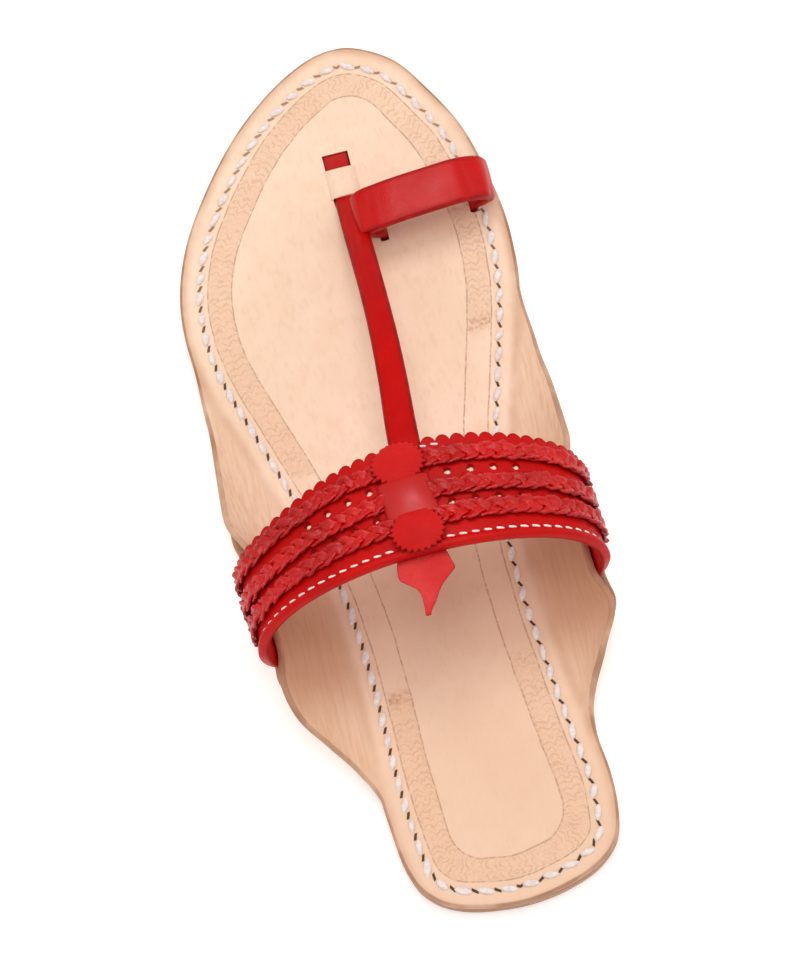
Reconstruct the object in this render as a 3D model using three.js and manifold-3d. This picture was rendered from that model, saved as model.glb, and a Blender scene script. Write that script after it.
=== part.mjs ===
// Flat toe-loop leather sandal for the left foot, standing empty on its sole.
// Millimetres. +X is the inner, big-toe side (medial), -X the outer side (lateral), +Y the toe, +Z up.
// The origin is under the middle of the finished sandal, on the floor.

import * as THREE from 'three';
import Module from 'manifold-3d';

const wasm = await Module();
wasm.setup();

const { smoothstep, lerp, clamp } = THREE.MathUtils;

// Driving dimensions
const GAP = 0.3; // left between pieces that touch
const SIDES = { lateral: -1, medial: 1 };

const OUTSOLE = { thickness: 4.2, bevel: 0.8, spring: 4, springStart: 72 };
const WAIST = { relief: 0.8, front: 22, rear: -62 };
const INSOLE = { thickness: 2.8, rows: 50, earColumns: 5, tipStation: 0.25 };
const EAR = { inset: 3, root: 3, wall: 1.8, thinning: 0.9, front: 40, rear: -80, columns: 5, rim: 0.81 };
const EAR_SPREAD = { start: 0.12, full: 0.45, front: 0, frontFull: -10, rearFull: -47, rear: -56 };

const BAND = { wall: 2.2, tuck: 0.5, bulge: 0.9, sideRise: 10, leastBow: 0.5, scallop: 0.045 };
const BAND_NET = { columns: 76, rows: [0, 0.08, 0.27, 0.5, 0.73], tuckSteps: 5, archSteps: 6 };
const REAR_ROLL = { height: 0.9, start: 0.9, crest: 0.955, lateralEnd: 0.09, medialEnd: 0.91 };
const STRAP = { half: 1.05, edge: 0.65, rows: 28, columns: 4 };
const LOOP = { half: 1.1, front: 83.3, rear: 69.8, middleX: 27, skew: 0.07, slot: 1.5, columns: 26, rows: 2 };
const WINDOW = { x: 4.25, y: 97.8, width: 7.1, length: 4.6, height: 12 };
const KEEPER = { x: 4.7, front: 95.4, rear: 86.2, half: 4.8, steps: 6 };
const KEEPER_LEATHER = { root: 1, edge: 0.05, frontRise: 1.1, rearRise: 2.2 };

const BRAID = { half: 2.2, base: 0.9, lobe: 0.8, spread: 0.3, start: 0.088, end: 0.912, columns: 38 };
const BRAIDS = { braid_front: 0.21, braid_middle: 0.495, braid_rear: 0.742 };
const CENTRE = 0.505; // place along the band of the roll, the discs and the leaf
const ROLL = { half: 6.6, middle: 0.511, reach: 0.179, full: 0.09, edge: 0.4, crown: 2.4, steps: 7 };
const DISC = { half: 0.7, steps: 8, notch: 0.93 };
const MEDALLIONS = {
  medallion_front: { place: 0.206, across: 7.5, along: 6.4 },
  medallion_rear: { place: 0.817, across: 7.3, along: 6.7 },
};
const LEAF = { half: 0.7, droop: 20, columns: 6 };

// The sole's edge, toe to heel
const TOE_TIP = { x: 11, y: 130.7 };
const HEEL_TIP = { x: 5, y: -123.4 };
const OUTLINE = [
  { y: 129, lateral: 2, medial: 18.7 },
  { y: 123, lateral: -9.4, medial: 27.8 },
  { y: 113, lateral: -21.8, medial: 34.7 },
  { y: 100, lateral: -33, medial: 41.4 },
  { y: 85, lateral: -42.6, medial: 45.2 },
  { y: 70, lateral: -48, medial: 47.3 },
  { y: 55, lateral: -49.4, medial: 46.9 },
  { y: 40, lateral: -47.5, medial: 44.3 },
  { y: 20, lateral: -41.5, medial: 38.8 },
  { y: 0, lateral: -35.3, medial: 33.6 },
  { y: -20, lateral: -30, medial: 31 },
  { y: -40, lateral: -27.2, medial: 31 },
  { y: -60, lateral: -26.3, medial: 32.5 },
  { y: -80, lateral: -26.2, medial: 34.6 },
  { y: -95, lateral: -25.4, medial: 36.2 },
  { y: -107, lateral: -23.8, medial: 35.2 },
  { y: -115, lateral: -20, medial: 31.2 },
  { y: -120.5, lateral: -12, medial: 21.5 },
];

// How far each ear hangs over the sole's edge, and how high its rim curls up
const EARS = [
  { y: 50, lateralOver: 0, lateralRise: 0, medialOver: 0, medialRise: 0 },
  { y: 30, lateralOver: 4.2, lateralRise: 1.3, medialOver: 5, medialRise: 1.3 },
  { y: 15, lateralOver: 9.3, lateralRise: 4.6, medialOver: 10.4, medialRise: 4.6 },
  { y: 0, lateralOver: 14.5, lateralRise: 9, medialOver: 14.6, medialRise: 9 },
  { y: -5, lateralOver: 15.2, lateralRise: 10.2, medialOver: 14.8, medialRise: 10.2 },
  { y: -13, lateralOver: 13.8, lateralRise: 11.6, medialOver: 13.1, medialRise: 11.6 },
  { y: -30, lateralOver: 16, lateralRise: 13.6, medialOver: 14.2, medialRise: 13.6 },
  { y: -42, lateralOver: 16.2, lateralRise: 13.6, medialOver: 14.3, medialRise: 13.4 },
  { y: -52, lateralOver: 18, lateralRise: 12.4, medialOver: 16.4, medialRise: 12 },
  { y: -62, lateralOver: 15.8, lateralRise: 9.6, medialOver: 10.4, medialRise: 8 },
  { y: -70, lateralOver: 10, lateralRise: 6, medialOver: 4.8, medialRise: 3.4 },
  { y: -78, lateralOver: 4.2, lateralRise: 2.2, medialOver: 1.2, medialRise: 0.8 },
  { y: -88, lateralOver: 0, lateralRise: 0, medialOver: 0, medialRise: 0 },
];

// The band's front and rear edges: its ends, its highest point, and how sharply each half bows to the toe
const BAND_FRONT = {
  lateralY: -18.2, medialY: -12.6, apexX: 4, apexY: -4.4, apexZ: 52, lateralBow: 2.6, medialBow: 1.8,
};
const BAND_REAR = {
  lateralY: -46, medialY: -42.4, apexX: 4, apexY: -37.4, apexZ: 57, lateralBow: 1.1, medialBow: 1,
};

// The centre strap's middle line, from its hidden tail at the toe up to the band
const STRAP_LINE = [
  { y: 102.5, x: 4.3, z: 6.5, width: 6.6 },
  { y: 95, x: 4.3, z: 6.1, width: 6.6 },
  { y: 88.5, x: 4.6, z: 6.1, width: 6.8 },
  { y: 84, x: 4.8, z: 8.8, width: 7.2 },
  { y: 80, x: 4.9, z: 11.8, width: 7.4 },
  { y: 72, x: 4.9, z: 17.2, width: 7.4 },
  { y: 60, x: 5.1, z: 25, width: 7.3 },
  { y: 45, x: 5.3, z: 33.5, width: 7.3 },
  { y: 30, x: 5.2, z: 40.5, width: 7.6 },
  { y: 15, x: 4.6, z: 46, width: 8 },
  { y: 3, x: 3.8, z: 49.9, width: 8.4 },
  { y: -5, x: 3.4, z: 52.3, width: 8.6 },
];

// The toe loop seen from the heel: up from its slot by the strap, over the toe and down into the other slot.
// Taper draws its rear edge in towards the slots.
const LOOP_LINE = [
  { x: 12.6, z: 5.2, taper: 2.6 },
  { x: 12.2, z: 8, taper: 2.6 },
  { x: 8.9, z: 12.2, taper: 2 },
  { x: 6.7, z: 16.2, taper: 0.9 },
  { x: 7.9, z: 20, taper: 0.1 },
  { x: 14.4, z: 21.7, taper: 0 },
  { x: 27, z: 22.1, taper: 0 },
  { x: 37, z: 21.6, taper: 0 },
  { x: 42.4, z: 18.8, taper: 0.1 },
  { x: 44, z: 14.4, taper: 0.9 },
  { x: 42.4, z: 10.6, taper: 2 },
  { x: 39.8, z: 8, taper: 2.6 },
  { x: 38.4, z: 5.4, taper: 2.6 },
];

// The leaf behind the band: half width along it, counted on from the band's front (0) and rear (1) edges
const LEAF_ROWS = [
  { along: 0.906, half: 6.2, shift: -0.8 },
  { along: 1.022, half: 7.1, shift: -0.8 },
  { along: 1.143, half: 7.5, shift: -0.9 },
  { along: 1.2, half: 5.1, shift: -1.6 },
  { along: 1.259, half: 3.6, shift: -2.3 },
  { along: 1.348, half: 2.1, shift: -3.2 },
  { along: 1.433, half: 0.4, shift: -3.9 },
];

// Reading the tables

// One column of a table at a given y, along a smooth curve that runs level into the first and last row.
function readColumn(rows, column, y) {
  const last = rows.length - 1;
  const place = clamp(y, rows[last].y, rows[0].y);
  let i = 0;
  while (i < last - 1 && rows[i + 1].y > place) {
    i += 1;
  }
  const slope = (k) => {
    if (k === 0 || k === last) {
      return 0;
    }
    return (rows[k + 1][column] - rows[k - 1][column]) / (rows[k + 1].y - rows[k - 1].y);
  };
  const span = rows[i + 1].y - rows[i].y;
  const f = (place - rows[i].y) / span;
  const rise = f * f * (3 - 2 * f);
  const start = f * (1 - f) * (1 - f);
  const end = f * f * (f - 1);
  return lerp(rows[i][column], rows[i + 1][column], rise) + span * (slope(i) * start + slope(i + 1) * end);
}

const outlineCurve = new THREE.CatmullRomCurve3([
  new THREE.Vector3(TOE_TIP.x, TOE_TIP.y, 0),
  ...OUTLINE.map((row) => new THREE.Vector3(row.medial, row.y, 0)),
  new THREE.Vector3(HEEL_TIP.x, HEEL_TIP.y, 0),
  ...OUTLINE.map((row) => new THREE.Vector3(row.lateral, row.y, 0)).reverse(),
], true, 'catmullrom');

const HEEL_STATION = OUTLINE.length + 1;

// The sole's two edges at a station: 0 at the toe tip, then a whole number at each row of the outline.
function soleAt(station) {
  const fraction = station / outlineCurve.points.length;
  const medial = outlineCurve.getPoint(fraction);
  const lateral = outlineCurve.getPoint(1 - fraction);
  return { y: medial.y, lateral: lateral.x, medial: medial.x };
}

// The station at a given y. y falls from toe to heel, so halving the stretch finds it.
function stationAt(y) {
  const halvings = 30;
  let front = 0;
  let rear = HEEL_STATION;
  for (let i = 0; i < halvings; i += 1) {
    const middle = (front + rear) / 2;
    if (soleAt(middle).y > y) {
      front = middle;
    } else {
      rear = middle;
    }
  }
  return (front + rear) / 2;
}

// Rise of the sole's top towards the toe.
function springAt(y) {
  const f = Math.max(0, (y - OUTSOLE.springStart) / (TOE_TIP.y - OUTSOLE.springStart));
  return OUTSOLE.spring * f * f;
}

// Rise of the sole's underside at the waist.
function reliefAt(y) {
  const f = clamp((y - WAIST.rear) / (WAIST.front - WAIST.rear), 0, 1);
  return WAIST.relief * Math.sin(Math.PI * f) ** 2;
}

function insoleMiddle(y) {
  return OUTSOLE.thickness + GAP + INSOLE.thickness / 2 + springAt(y);
}

// Making closed solids

function geometryFrom(positions, triangles) {
  const geometry = new THREE.BufferGeometry();
  geometry.setAttribute('position', new THREE.Float32BufferAttribute(positions, 3));
  geometry.setIndex(triangles);
  return geometry;
}

// A leather sheet: a grid of points on its middle, rows running to the heel and columns to the medial side,
// thickened along its normals by above(row, column) and below(row, column).
function sheet(grid, above, below) {
  const rows = grid.length;
  const columns = grid[0].length;
  const positions = [];
  const at = (i, j) => grid[clamp(i, 0, rows - 1)][clamp(j, 0, columns - 1)];
  const normal = (i, j) => {
    const down = at(i + 1, j).clone().sub(at(i - 1, j));
    const across = at(i, j + 1).clone().sub(at(i, j - 1));
    return down.cross(across).normalize();
  };
  const layers = [(i, j) => above(i, j), (i, j) => -below(i, j)];
  for (const height of layers) {
    for (let i = 0; i < rows; i += 1) {
      for (let j = 0; j < columns; j += 1) {
        const point = normal(i, j).multiplyScalar(height(i, j)).add(grid[i][j]);
        positions.push(point.x, point.y, point.z);
      }
    }
  }
  const top = (i, j) => i * columns + j;
  const under = (i, j) => rows * columns + top(i, j);
  const triangles = [];
  for (let i = 0; i + 1 < rows; i += 1) {
    for (let j = 0; j + 1 < columns; j += 1) {
      triangles.push(top(i, j), top(i + 1, j), top(i, j + 1));
      triangles.push(top(i + 1, j), top(i + 1, j + 1), top(i, j + 1));
      triangles.push(under(i, j), under(i, j + 1), under(i + 1, j));
      triangles.push(under(i + 1, j), under(i, j + 1), under(i + 1, j + 1));
    }
  }
  const wall = (i, j, k, l) => {
    triangles.push(top(k, l), top(i, j), under(i, j));
    triangles.push(top(k, l), under(i, j), under(k, l));
  };
  for (let i = 0; i + 1 < rows; i += 1) {
    wall(i, 0, i + 1, 0);
    wall(i + 1, columns - 1, i, columns - 1);
  }
  for (let j = 0; j + 1 < columns; j += 1) {
    wall(rows - 1, j, rows - 1, j + 1);
    wall(0, j + 1, 0, j);
  }
  return geometryFrom(positions, triangles);
}

const evenly = (thickness) => () => thickness;

// A solid through closed rings of points, toe to heel, each ring running anticlockwise as seen from the toe.
function loft(rings) {
  const count = rings[0].length;
  const positions = rings.flat().flatMap((point) => point.toArray());
  const triangles = [];
  const at = (i, j) => i * count + (j % count);
  for (let i = 0; i + 1 < rings.length; i += 1) {
    for (let j = 0; j < count; j += 1) {
      triangles.push(at(i, j), at(i + 1, j), at(i, j + 1));
      triangles.push(at(i + 1, j), at(i + 1, j + 1), at(i, j + 1));
    }
  }
  const last = rings.length - 1;
  for (let j = 1; j + 1 < count; j += 1) {
    triangles.push(at(0, 0), at(0, j), at(0, j + 1));
    triangles.push(at(last, 0), at(last, j + 1), at(last, j));
  }
  return geometryFrom(positions, triangles);
}

function toSolid(geometry) {
  return new wasm.Manifold(new wasm.Mesh({
    numProp: 3,
    vertProperties: new Float32Array(geometry.getAttribute('position').array),
    triVerts: new Uint32Array(geometry.getIndex().array),
  }));
}

function toGeometry(solid) {
  const mesh = solid.getMesh();
  return geometryFrom(Array.from(mesh.vertProperties), Array.from(mesh.triVerts));
}

function cut(geometry, cutters) {
  return toGeometry(cutters.reduce((solid, cutter) => solid.subtract(toSolid(cutter)), toSolid(geometry)));
}

function join(geometries) {
  return toGeometry(geometries.map(toSolid).reduce((solid, next) => solid.add(next)));
}

// Evenly spaced numbers from first to last.
function steps(first, last, count) {
  return Array.from({ length: count + 1 }, (_, i) => lerp(first, last, i / count));
}

// The outline's rounded ends are closed a little short of the tips
const soleStations = steps(INSOLE.tipStation, HEEL_STATION - INSOLE.tipStation, INSOLE.rows);

// Ears

// The section of an ear at y, as a function of the place along it and the depth under the insole's middle.
// Along is 0 where the leather starts to curl, 1 at the rim and -1 at the hidden root of the outer layer.
function earSection(side, y) {
  const sign = SIDES[side];
  const sole = soleAt(stationAt(y));
  const inset = Math.min(EAR.inset, (sole.medial - sole.lateral) / 4);
  const hinge = sole[side] - sign * inset;
  const reach = inset + readColumn(EARS, `${side}Over`, y);
  const rise = readColumn(EARS, `${side}Rise`, y);
  const curl = Math.max(2 * Math.atan2(rise, reach), 1e-3);
  const radius = reach / Math.sin(curl);
  return (along, depth) => {
    const turn = curl * Math.max(along, 0);
    const out = along > 0 ? radius * Math.sin(turn) : along * EAR.root;
    const x = hinge + sign * (out + depth * Math.sin(turn));
    const z = insoleMiddle(y) + radius * (1 - Math.cos(turn)) - depth * Math.cos(turn);
    return new THREE.Vector3(x, y, z);
  };
}

// Depth of the insole's underside, which thins towards the rim of the ear.
function undersideDepth(along) {
  return INSOLE.thickness / 2 - EAR.thinning * Math.max(along, 0);
}

// How far the ear layers stand apart at y: 1 where they hold the end of the band, 0 where they lie together.
function earOpening(y) {
  const front = 1 - smoothstep(y, EAR_SPREAD.frontFull, EAR_SPREAD.front);
  const rear = smoothstep(y, EAR_SPREAD.rear, EAR_SPREAD.rearFull);
  return front * rear;
}

function earSpace(along, y) {
  const out = smoothstep(along, EAR_SPREAD.start, EAR_SPREAD.full);
  return GAP + (BAND.wall + 2 * GAP) * out * earOpening(y);
}

// The outer layer of an ear, a little short of the insole's rim. A grown one cuts its own seat.
function earLayer(side, grow) {
  const rows = soleStations.map((station) => soleAt(station).y);
  const between = rows.filter((y) => y < EAR.front && y > EAR.rear);
  const grid = [EAR.front + grow, ...between, EAR.rear - grow].map((y) => {
    const section = earSection(side, y);
    const places = [-1 - grow / EAR.root, ...steps(0, EAR.rim, EAR.columns)];
    if (side === 'lateral') {
      places.reverse();
    }
    return places.map((along) => section(along, undersideDepth(along) + earSpace(along, y) + EAR.wall / 2));
  });
  return sheet(grid, evenly(EAR.wall / 2 + grow), evenly(EAR.wall / 2 + grow));
}

// Sole

function outsoleRing(station) {
  const { y, lateral, medial } = soleAt(station);
  const lift = springAt(y);
  const under = lift + reliefAt(y);
  const top = lift + OUTSOLE.thickness;
  const bevel = OUTSOLE.bevel;
  return [
    [medial, top],
    [medial, under + bevel],
    [medial - bevel, under],
    [lateral + bevel, under],
    [lateral, under + bevel],
    [lateral, top],
  ].map(([x, z]) => new THREE.Vector3(x, y, z));
}

function makeOutsole() {
  const block = loft(soleStations.map(outsoleRing));
  return cut(block, [earLayer('lateral', GAP), earLayer('medial', GAP)]);
}

// The raised strip of insole leather that holds the strap's tail down.
function makeKeeper() {
  const { root, edge, frontRise, rearRise } = KEEPER_LEATHER;
  const grid = steps(KEEPER.front, KEEPER.rear, KEEPER.steps).map((y) => {
    const top = insoleMiddle(y) + INSOLE.thickness / 2;
    return steps(-1, 1, KEEPER.steps).map((f) => new THREE.Vector3(KEEPER.x + f * KEEPER.half, y, top));
  });
  const crown = (i, j) => {
    const f = (2 * j) / KEEPER.steps - 1;
    return edge + lerp(frontRise, rearRise, i / KEEPER.steps) * (1 - f ** 4);
  };
  return sheet(grid, crown, evenly(root));
}

function makeInsole() {
  const ear = steps(0, 1, INSOLE.earColumns);
  const rimFirst = [...ear].reverse();
  const places = [...rimFirst.map((along) => ['lateral', along]), ...ear.map((along) => ['medial', along])];
  const grid = soleStations.map((station) => {
    const { y } = soleAt(station);
    const sections = { lateral: earSection('lateral', y), medial: earSection('medial', y) };
    return places.map(([side, along]) => sections[side](along, 0));
  });
  const below = (i, j) => undersideDepth(places[j][1]);
  const leather = sheet(grid, evenly(INSOLE.thickness / 2), below);
  return cut(join([leather, makeKeeper()]), [makeStrap(GAP), makeLoop(GAP), windowBlock()]);
}

function windowBlock() {
  const rear = WINDOW.y - WINDOW.length / 2;
  const front = WINDOW.y + WINDOW.length / 2;
  const grid = [front, rear].map((y) => steps(-0.5, 0.5, 1).map((f) => (
    new THREE.Vector3(WINDOW.x + f * WINDOW.width, y, 0))));
  return sheet(grid, evenly(WINDOW.height), evenly(0));
}

// Upper

// The band's middle line across the foot, at a place between its front (0) and rear (1) edge.
function makeBandLine(place) {
  const row = {};
  for (const key of Object.keys(BAND_FRONT)) {
    row[key] = lerp(BAND_FRONT[key], BAND_REAR[key], place);
  }
  const half = (side) => {
    const sign = SIDES[side];
    const y = row[`${side}Y`];
    const bow = Math.max(row[`${side}Bow`], BAND.leastBow);
    const section = earSection(side, y);
    const tucked = steps(BAND.tuck, 1, BAND_NET.tuckSteps).map((along) => (
      section(along, undersideDepth(along) + earSpace(along, y) / 2)));
    const rim = tucked[tucked.length - 1];
    const sideX = rim.x + sign * BAND.bulge;
    const sideZ = rim.z + BAND.sideRise;
    const arch = steps(0, Math.PI / 2, BAND_NET.archSteps).slice(0, -1).map((turn) => new THREE.Vector3(
      lerp(row.apexX, sideX, Math.cos(turn)),
      lerp(y, row.apexY, Math.sin(turn) ** bow),
      lerp(sideZ, row.apexZ, Math.sin(turn)),
    ));
    return [...tucked, ...arch];
  };
  const apex = new THREE.Vector3(row.apexX, row.apexY, row.apexZ);
  return new THREE.CatmullRomCurve3([...half('lateral'), apex, ...half('medial').reverse()]);
}

const bandLines = new Map();

function bandLine(place) {
  if (!bandLines.has(place)) {
    bandLines.set(place, makeBandLine(place));
  }
  return bandLines.get(place);
}

// A point on the band's middle: across is 0 at the lateral end and 1 at the medial end.
function bandPoint(across, place) {
  return bandLine(place).getPointAt(across);
}

// A point raised off the band along its normal.
function overBand(across, place, height) {
  const small = 0.01;
  const down = bandPoint(across, place + small).sub(bandPoint(across, place - small));
  const along = bandPoint(across + small, place).sub(bandPoint(across - small, place));
  return bandPoint(across, place).add(down.cross(along).setLength(height));
}

const bandWidth = bandPoint(CENTRE, 0).distanceTo(bandPoint(CENTRE, 1));
const bandLength = bandLine(0.5).getLength();

function makeBand() {
  const places = [...BAND_NET.rows, REAR_ROLL.start, REAR_ROLL.crest, 1];
  const acrosses = steps(0, 1, BAND_NET.columns);
  const grid = places.map((place, i) => acrosses.map((across, j) => {
    const notch = i === 0 && j % 2 === 0 ? BAND.scallop : 0;
    return bandPoint(across, place + notch);
  }));
  const above = (i, j) => {
    const clear = acrosses[j] > REAR_ROLL.lateralEnd && acrosses[j] < REAR_ROLL.medialEnd;
    const rolled = clear && places[i] === REAR_ROLL.crest ? REAR_ROLL.height : 0;
    return BAND.wall / 2 + rolled;
  };
  return sheet(grid, above, evenly(BAND.wall / 2));
}

// The centre strap, rounded across. A grown one cuts its channel in the insole.
function makeStrap(grow) {
  const first = STRAP_LINE[0].y;
  const last = STRAP_LINE[STRAP_LINE.length - 1].y;
  const crossings = steps(-1, 1, STRAP.columns);
  const places = steps(first, last, STRAP.rows);
  if (grow > 0) {
    places.unshift(first + grow);
  }
  const grid = places.map((y) => {
    const width = readColumn(STRAP_LINE, 'width', y) + 2 * grow;
    const x = readColumn(STRAP_LINE, 'x', y);
    return crossings.map((f) => new THREE.Vector3(x + f * width / 2, y, readColumn(STRAP_LINE, 'z', y)));
  });
  const thickness = (i, j) => lerp(STRAP.half, STRAP.edge, crossings[j] ** 2) + grow;
  return sheet(grid, thickness, thickness);
}

// The toe loop. A grown one, longer at its feet, cuts its slots right through the insole.
function makeLoop(grow) {
  const line = new THREE.CatmullRomCurve3(LOOP_LINE.map(({ x, z, taper }) => new THREE.Vector3(x, taper, z)));
  const points = line.getSpacedPoints(LOOP.columns);
  if (grow > 0) {
    const lower = ({ x, y, z }) => new THREE.Vector3(x, y, z - LOOP.slot);
    points.unshift(lower(points[0]));
    points.push(lower(points[points.length - 1]));
  }
  const grid = steps(0, 1, LOOP.rows).map((f) => points.map(({ x, y: taper, z }) => {
    const y = lerp(LOOP.front + grow, LOOP.rear + taper - grow, f);
    return new THREE.Vector3(x, y + LOOP.skew * (x - LOOP.middleX), z);
  }));
  return sheet(grid, evenly(LOOP.half + grow), evenly(LOOP.half + grow));
}

// Trim on the band

// A plaited cord: one wall with the strands raised in two rows of lobes, half a lobe out of step.
function makeBraid(place) {
  const half = BRAID.half / bandWidth;
  const spread = BRAID.spread / bandWidth;
  const rows = [-1, -0.5, 0, 0.5, 1];
  const isLobe = (i, j) => (rows[i] < 0 ? j % 2 === 0 : j % 2 === 1);
  const grid = rows.map((f, i) => steps(BRAID.start, BRAID.end, BRAID.columns).map((across, j) => {
    const out = Math.abs(f) === 1 && isLobe(i, j) ? Math.sign(f) * spread : 0;
    return overBand(across, place + f * half + out, BAND.wall / 2 + GAP);
  }));
  const above = (i, j) => BRAID.base + (Math.abs(rows[i]) === 0.5 && isLobe(i, j) ? BRAID.lobe : 0);
  return sheet(grid, above, evenly(0));
}

const braidTop = BAND.wall / 2 + GAP + BRAID.base + BRAID.lobe;

// The leather wrap: thin where the discs hold it, full between them.
function makeRoll() {
  const places = steps(ROLL.middle - ROLL.reach, ROLL.middle + ROLL.reach, ROLL.steps);
  const acrosses = steps(-1, 1, ROLL.steps).map((f) => CENTRE + f * ROLL.half / bandLength);
  const grid = places.map((place) => acrosses.map((across) => overBand(across, place, braidTop + GAP)));
  const above = (i, j) => {
    const across = (2 * j) / ROLL.steps - 1;
    const along = clamp((places[i] - ROLL.middle) / ROLL.full, -1, 1);
    return ROLL.edge + ROLL.crown * (1 - across ** 4) * (1 - along ** 2) ** 2;
  };
  return sheet(grid, above, evenly(0));
}

// A pinked disc: a square net drawn out to a round one, with every second point of its edge notched.
function makeMedallion({ place, across, along }) {
  const height = braidTop + 2 * GAP + ROLL.edge + DISC.half;
  const net = steps(-1, 1, DISC.steps);
  const grid = net.map((g, i) => net.map((f, j) => {
    const isEdge = Math.abs(f) === 1 || Math.abs(g) === 1;
    const scale = isEdge && (i + j) % 2 === 1 ? DISC.notch : 1;
    const x = scale * f * Math.sqrt(1 - g * g / 2);
    const y = scale * g * Math.sqrt(1 - f * f / 2);
    return overBand(CENTRE + x * across / bandLength, place + y * along / bandWidth, height);
  }));
  return sheet(grid, evenly(DISC.half), evenly(DISC.half));
}

// The leaf: held under the band's rear edge, drooping towards its tip.
function makeLeaf() {
  const grid = LEAF_ROWS.map(({ along, half, shift }) => steps(-1, 1, LEAF.columns).map((f) => {
    const droop = LEAF.droop * Math.max(along - 1, 0) ** 2;
    const depth = BAND.wall / 2 + GAP + LEAF.half + droop;
    return overBand(CENTRE + (shift + f * half) / bandLength, along, -depth);
  }));
  return sheet(grid, evenly(LEAF.half), evenly(LEAF.half));
}

// Leathers
const TAN = { color: '#f2cdae', roughness: 0.55 };
const SOLE_TAN = { color: '#d8ab86', roughness: 0.7 };
const RED = { color: '#c21a1b', roughness: 0.4 };
const RED_DULL = { color: '#cb2c2b', roughness: 0.6 };

const sandal = new THREE.Group();

function addPiece(name, geometry, leather) {
  const mesh = new THREE.Mesh(geometry, new THREE.MeshStandardMaterial({ ...leather, metalness: 0 }));
  mesh.name = name;
  sandal.add(mesh);
}

addPiece('outsole', makeOutsole(), SOLE_TAN);
addPiece('insole', makeInsole(), TAN);
for (const side of Object.keys(SIDES)) {
  addPiece(`ear_${side}`, earLayer(side, 0), TAN);
}
addPiece('upper', join([makeBand(), makeStrap(0), makeLoop(0)]), RED);
for (const [name, place] of Object.entries(BRAIDS)) {
  addPiece(name, makeBraid(place), RED);
}
addPiece('centre_roll', makeRoll(), RED);
for (const [name, disc] of Object.entries(MEDALLIONS)) {
  addPiece(name, makeMedallion(disc), RED_DULL);
}
addPiece('leaf_tail', makeLeaf(), RED_DULL);

// The origin goes under the middle of the whole sandal
const box = new THREE.Box3().setFromObject(sandal, true);
const middle = box.getCenter(new THREE.Vector3());
sandal.position.set(-middle.x, -middle.y, -box.min.z);

export default sandal;
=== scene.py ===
"""Looks of a flat toe-loop leather sandal for the left foot.

Tables are in the millimetres of the part's source; to_frame() turns them into the frame's metres.
+X is the inner, big-toe side (medial), -X the outer side (lateral), +Y the toe, +Z up.
"""

import math

import bpy
import numpy as np
from mathutils import Matrix, Vector, kdtree, noise


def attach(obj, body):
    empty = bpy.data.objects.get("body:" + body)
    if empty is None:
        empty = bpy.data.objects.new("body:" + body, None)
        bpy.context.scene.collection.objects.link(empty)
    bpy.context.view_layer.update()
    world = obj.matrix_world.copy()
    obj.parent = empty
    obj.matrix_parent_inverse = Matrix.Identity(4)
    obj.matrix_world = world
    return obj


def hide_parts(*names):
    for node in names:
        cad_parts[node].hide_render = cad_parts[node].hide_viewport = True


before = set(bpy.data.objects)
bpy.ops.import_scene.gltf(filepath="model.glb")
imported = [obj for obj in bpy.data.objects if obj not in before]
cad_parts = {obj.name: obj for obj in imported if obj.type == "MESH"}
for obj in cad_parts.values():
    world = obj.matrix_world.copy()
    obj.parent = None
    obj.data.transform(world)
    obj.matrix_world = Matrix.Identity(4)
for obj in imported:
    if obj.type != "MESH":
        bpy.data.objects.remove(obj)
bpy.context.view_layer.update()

MM = 0.001
ORIGIN = np.array((0.2891, 3.828, 0.0))  # the part's origin in the tables' millimetres
GAP = 0.3  # left between pieces in the solids
LATERAL, MEDIAL = -1, 1

# Sole
OUTSOLE_THICKNESS, SPRING, SPRING_START = 4.2, 4.0, 72.0
WAIST_RELIEF, WAIST_FRONT, WAIST_REAR = 0.8, 22.0, -62.0
INSOLE_HALF = 1.4
TOE_TIP, HEEL_TIP, MIDDLE_X = (11.0, 130.7), (5.0, -123.4), 5.0
OUTLINE = np.array([  # y, lateral x, medial x
    (129, 2, 18.7), (123, -9.4, 27.8), (113, -21.8, 34.7), (100, -33, 41.4), (85, -42.6, 45.2),
    (70, -48, 47.3), (55, -49.4, 46.9), (40, -47.5, 44.3), (20, -41.5, 38.8), (0, -35.3, 33.6),
    (-20, -30, 31), (-40, -27.2, 31), (-60, -26.3, 32.5), (-80, -26.2, 34.6), (-95, -25.4, 36.2),
    (-107, -23.8, 35.2), (-115, -20, 31.2), (-120.5, -12, 21.5),
])

# Ears
EAR_INSET, EAR_ROOT, EAR_WALL, EAR_THINNING = 3.0, 3.0, 1.8, 0.9
EAR_FRONT, EAR_REAR, EAR_RIM = 40.0, -80.0, 0.81
SPREAD_START, SPREAD_FULL = 0.12, 0.45  # along the ear
SPREAD_FRONT, SPREAD_FRONT_FULL, SPREAD_REAR_FULL, SPREAD_REAR = 0.0, -10.0, -47.0, -56.0
EARS = np.array([  # y, lateral over, lateral rise, medial over, medial rise
    (50, 0, 0, 0, 0), (30, 4.2, 1.3, 5, 1.3), (15, 9.3, 4.6, 10.4, 4.6), (0, 14.5, 9, 14.6, 9),
    (-5, 15.2, 10.2, 14.8, 10.2), (-13, 13.8, 11.6, 13.1, 11.6), (-30, 16, 13.6, 14.2, 13.6),
    (-42, 16.2, 13.6, 14.3, 13.4), (-52, 18, 12.4, 16.4, 12), (-62, 15.8, 9.6, 10.4, 8),
    (-70, 10, 6, 4.8, 3.4), (-78, 4.2, 2.2, 1.2, 0.8), (-88, 0, 0, 0, 0),
])
LATERAL_OVER, MEDIAL_OVER = 1, 3  # columns, each with its rise beside it

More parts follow.
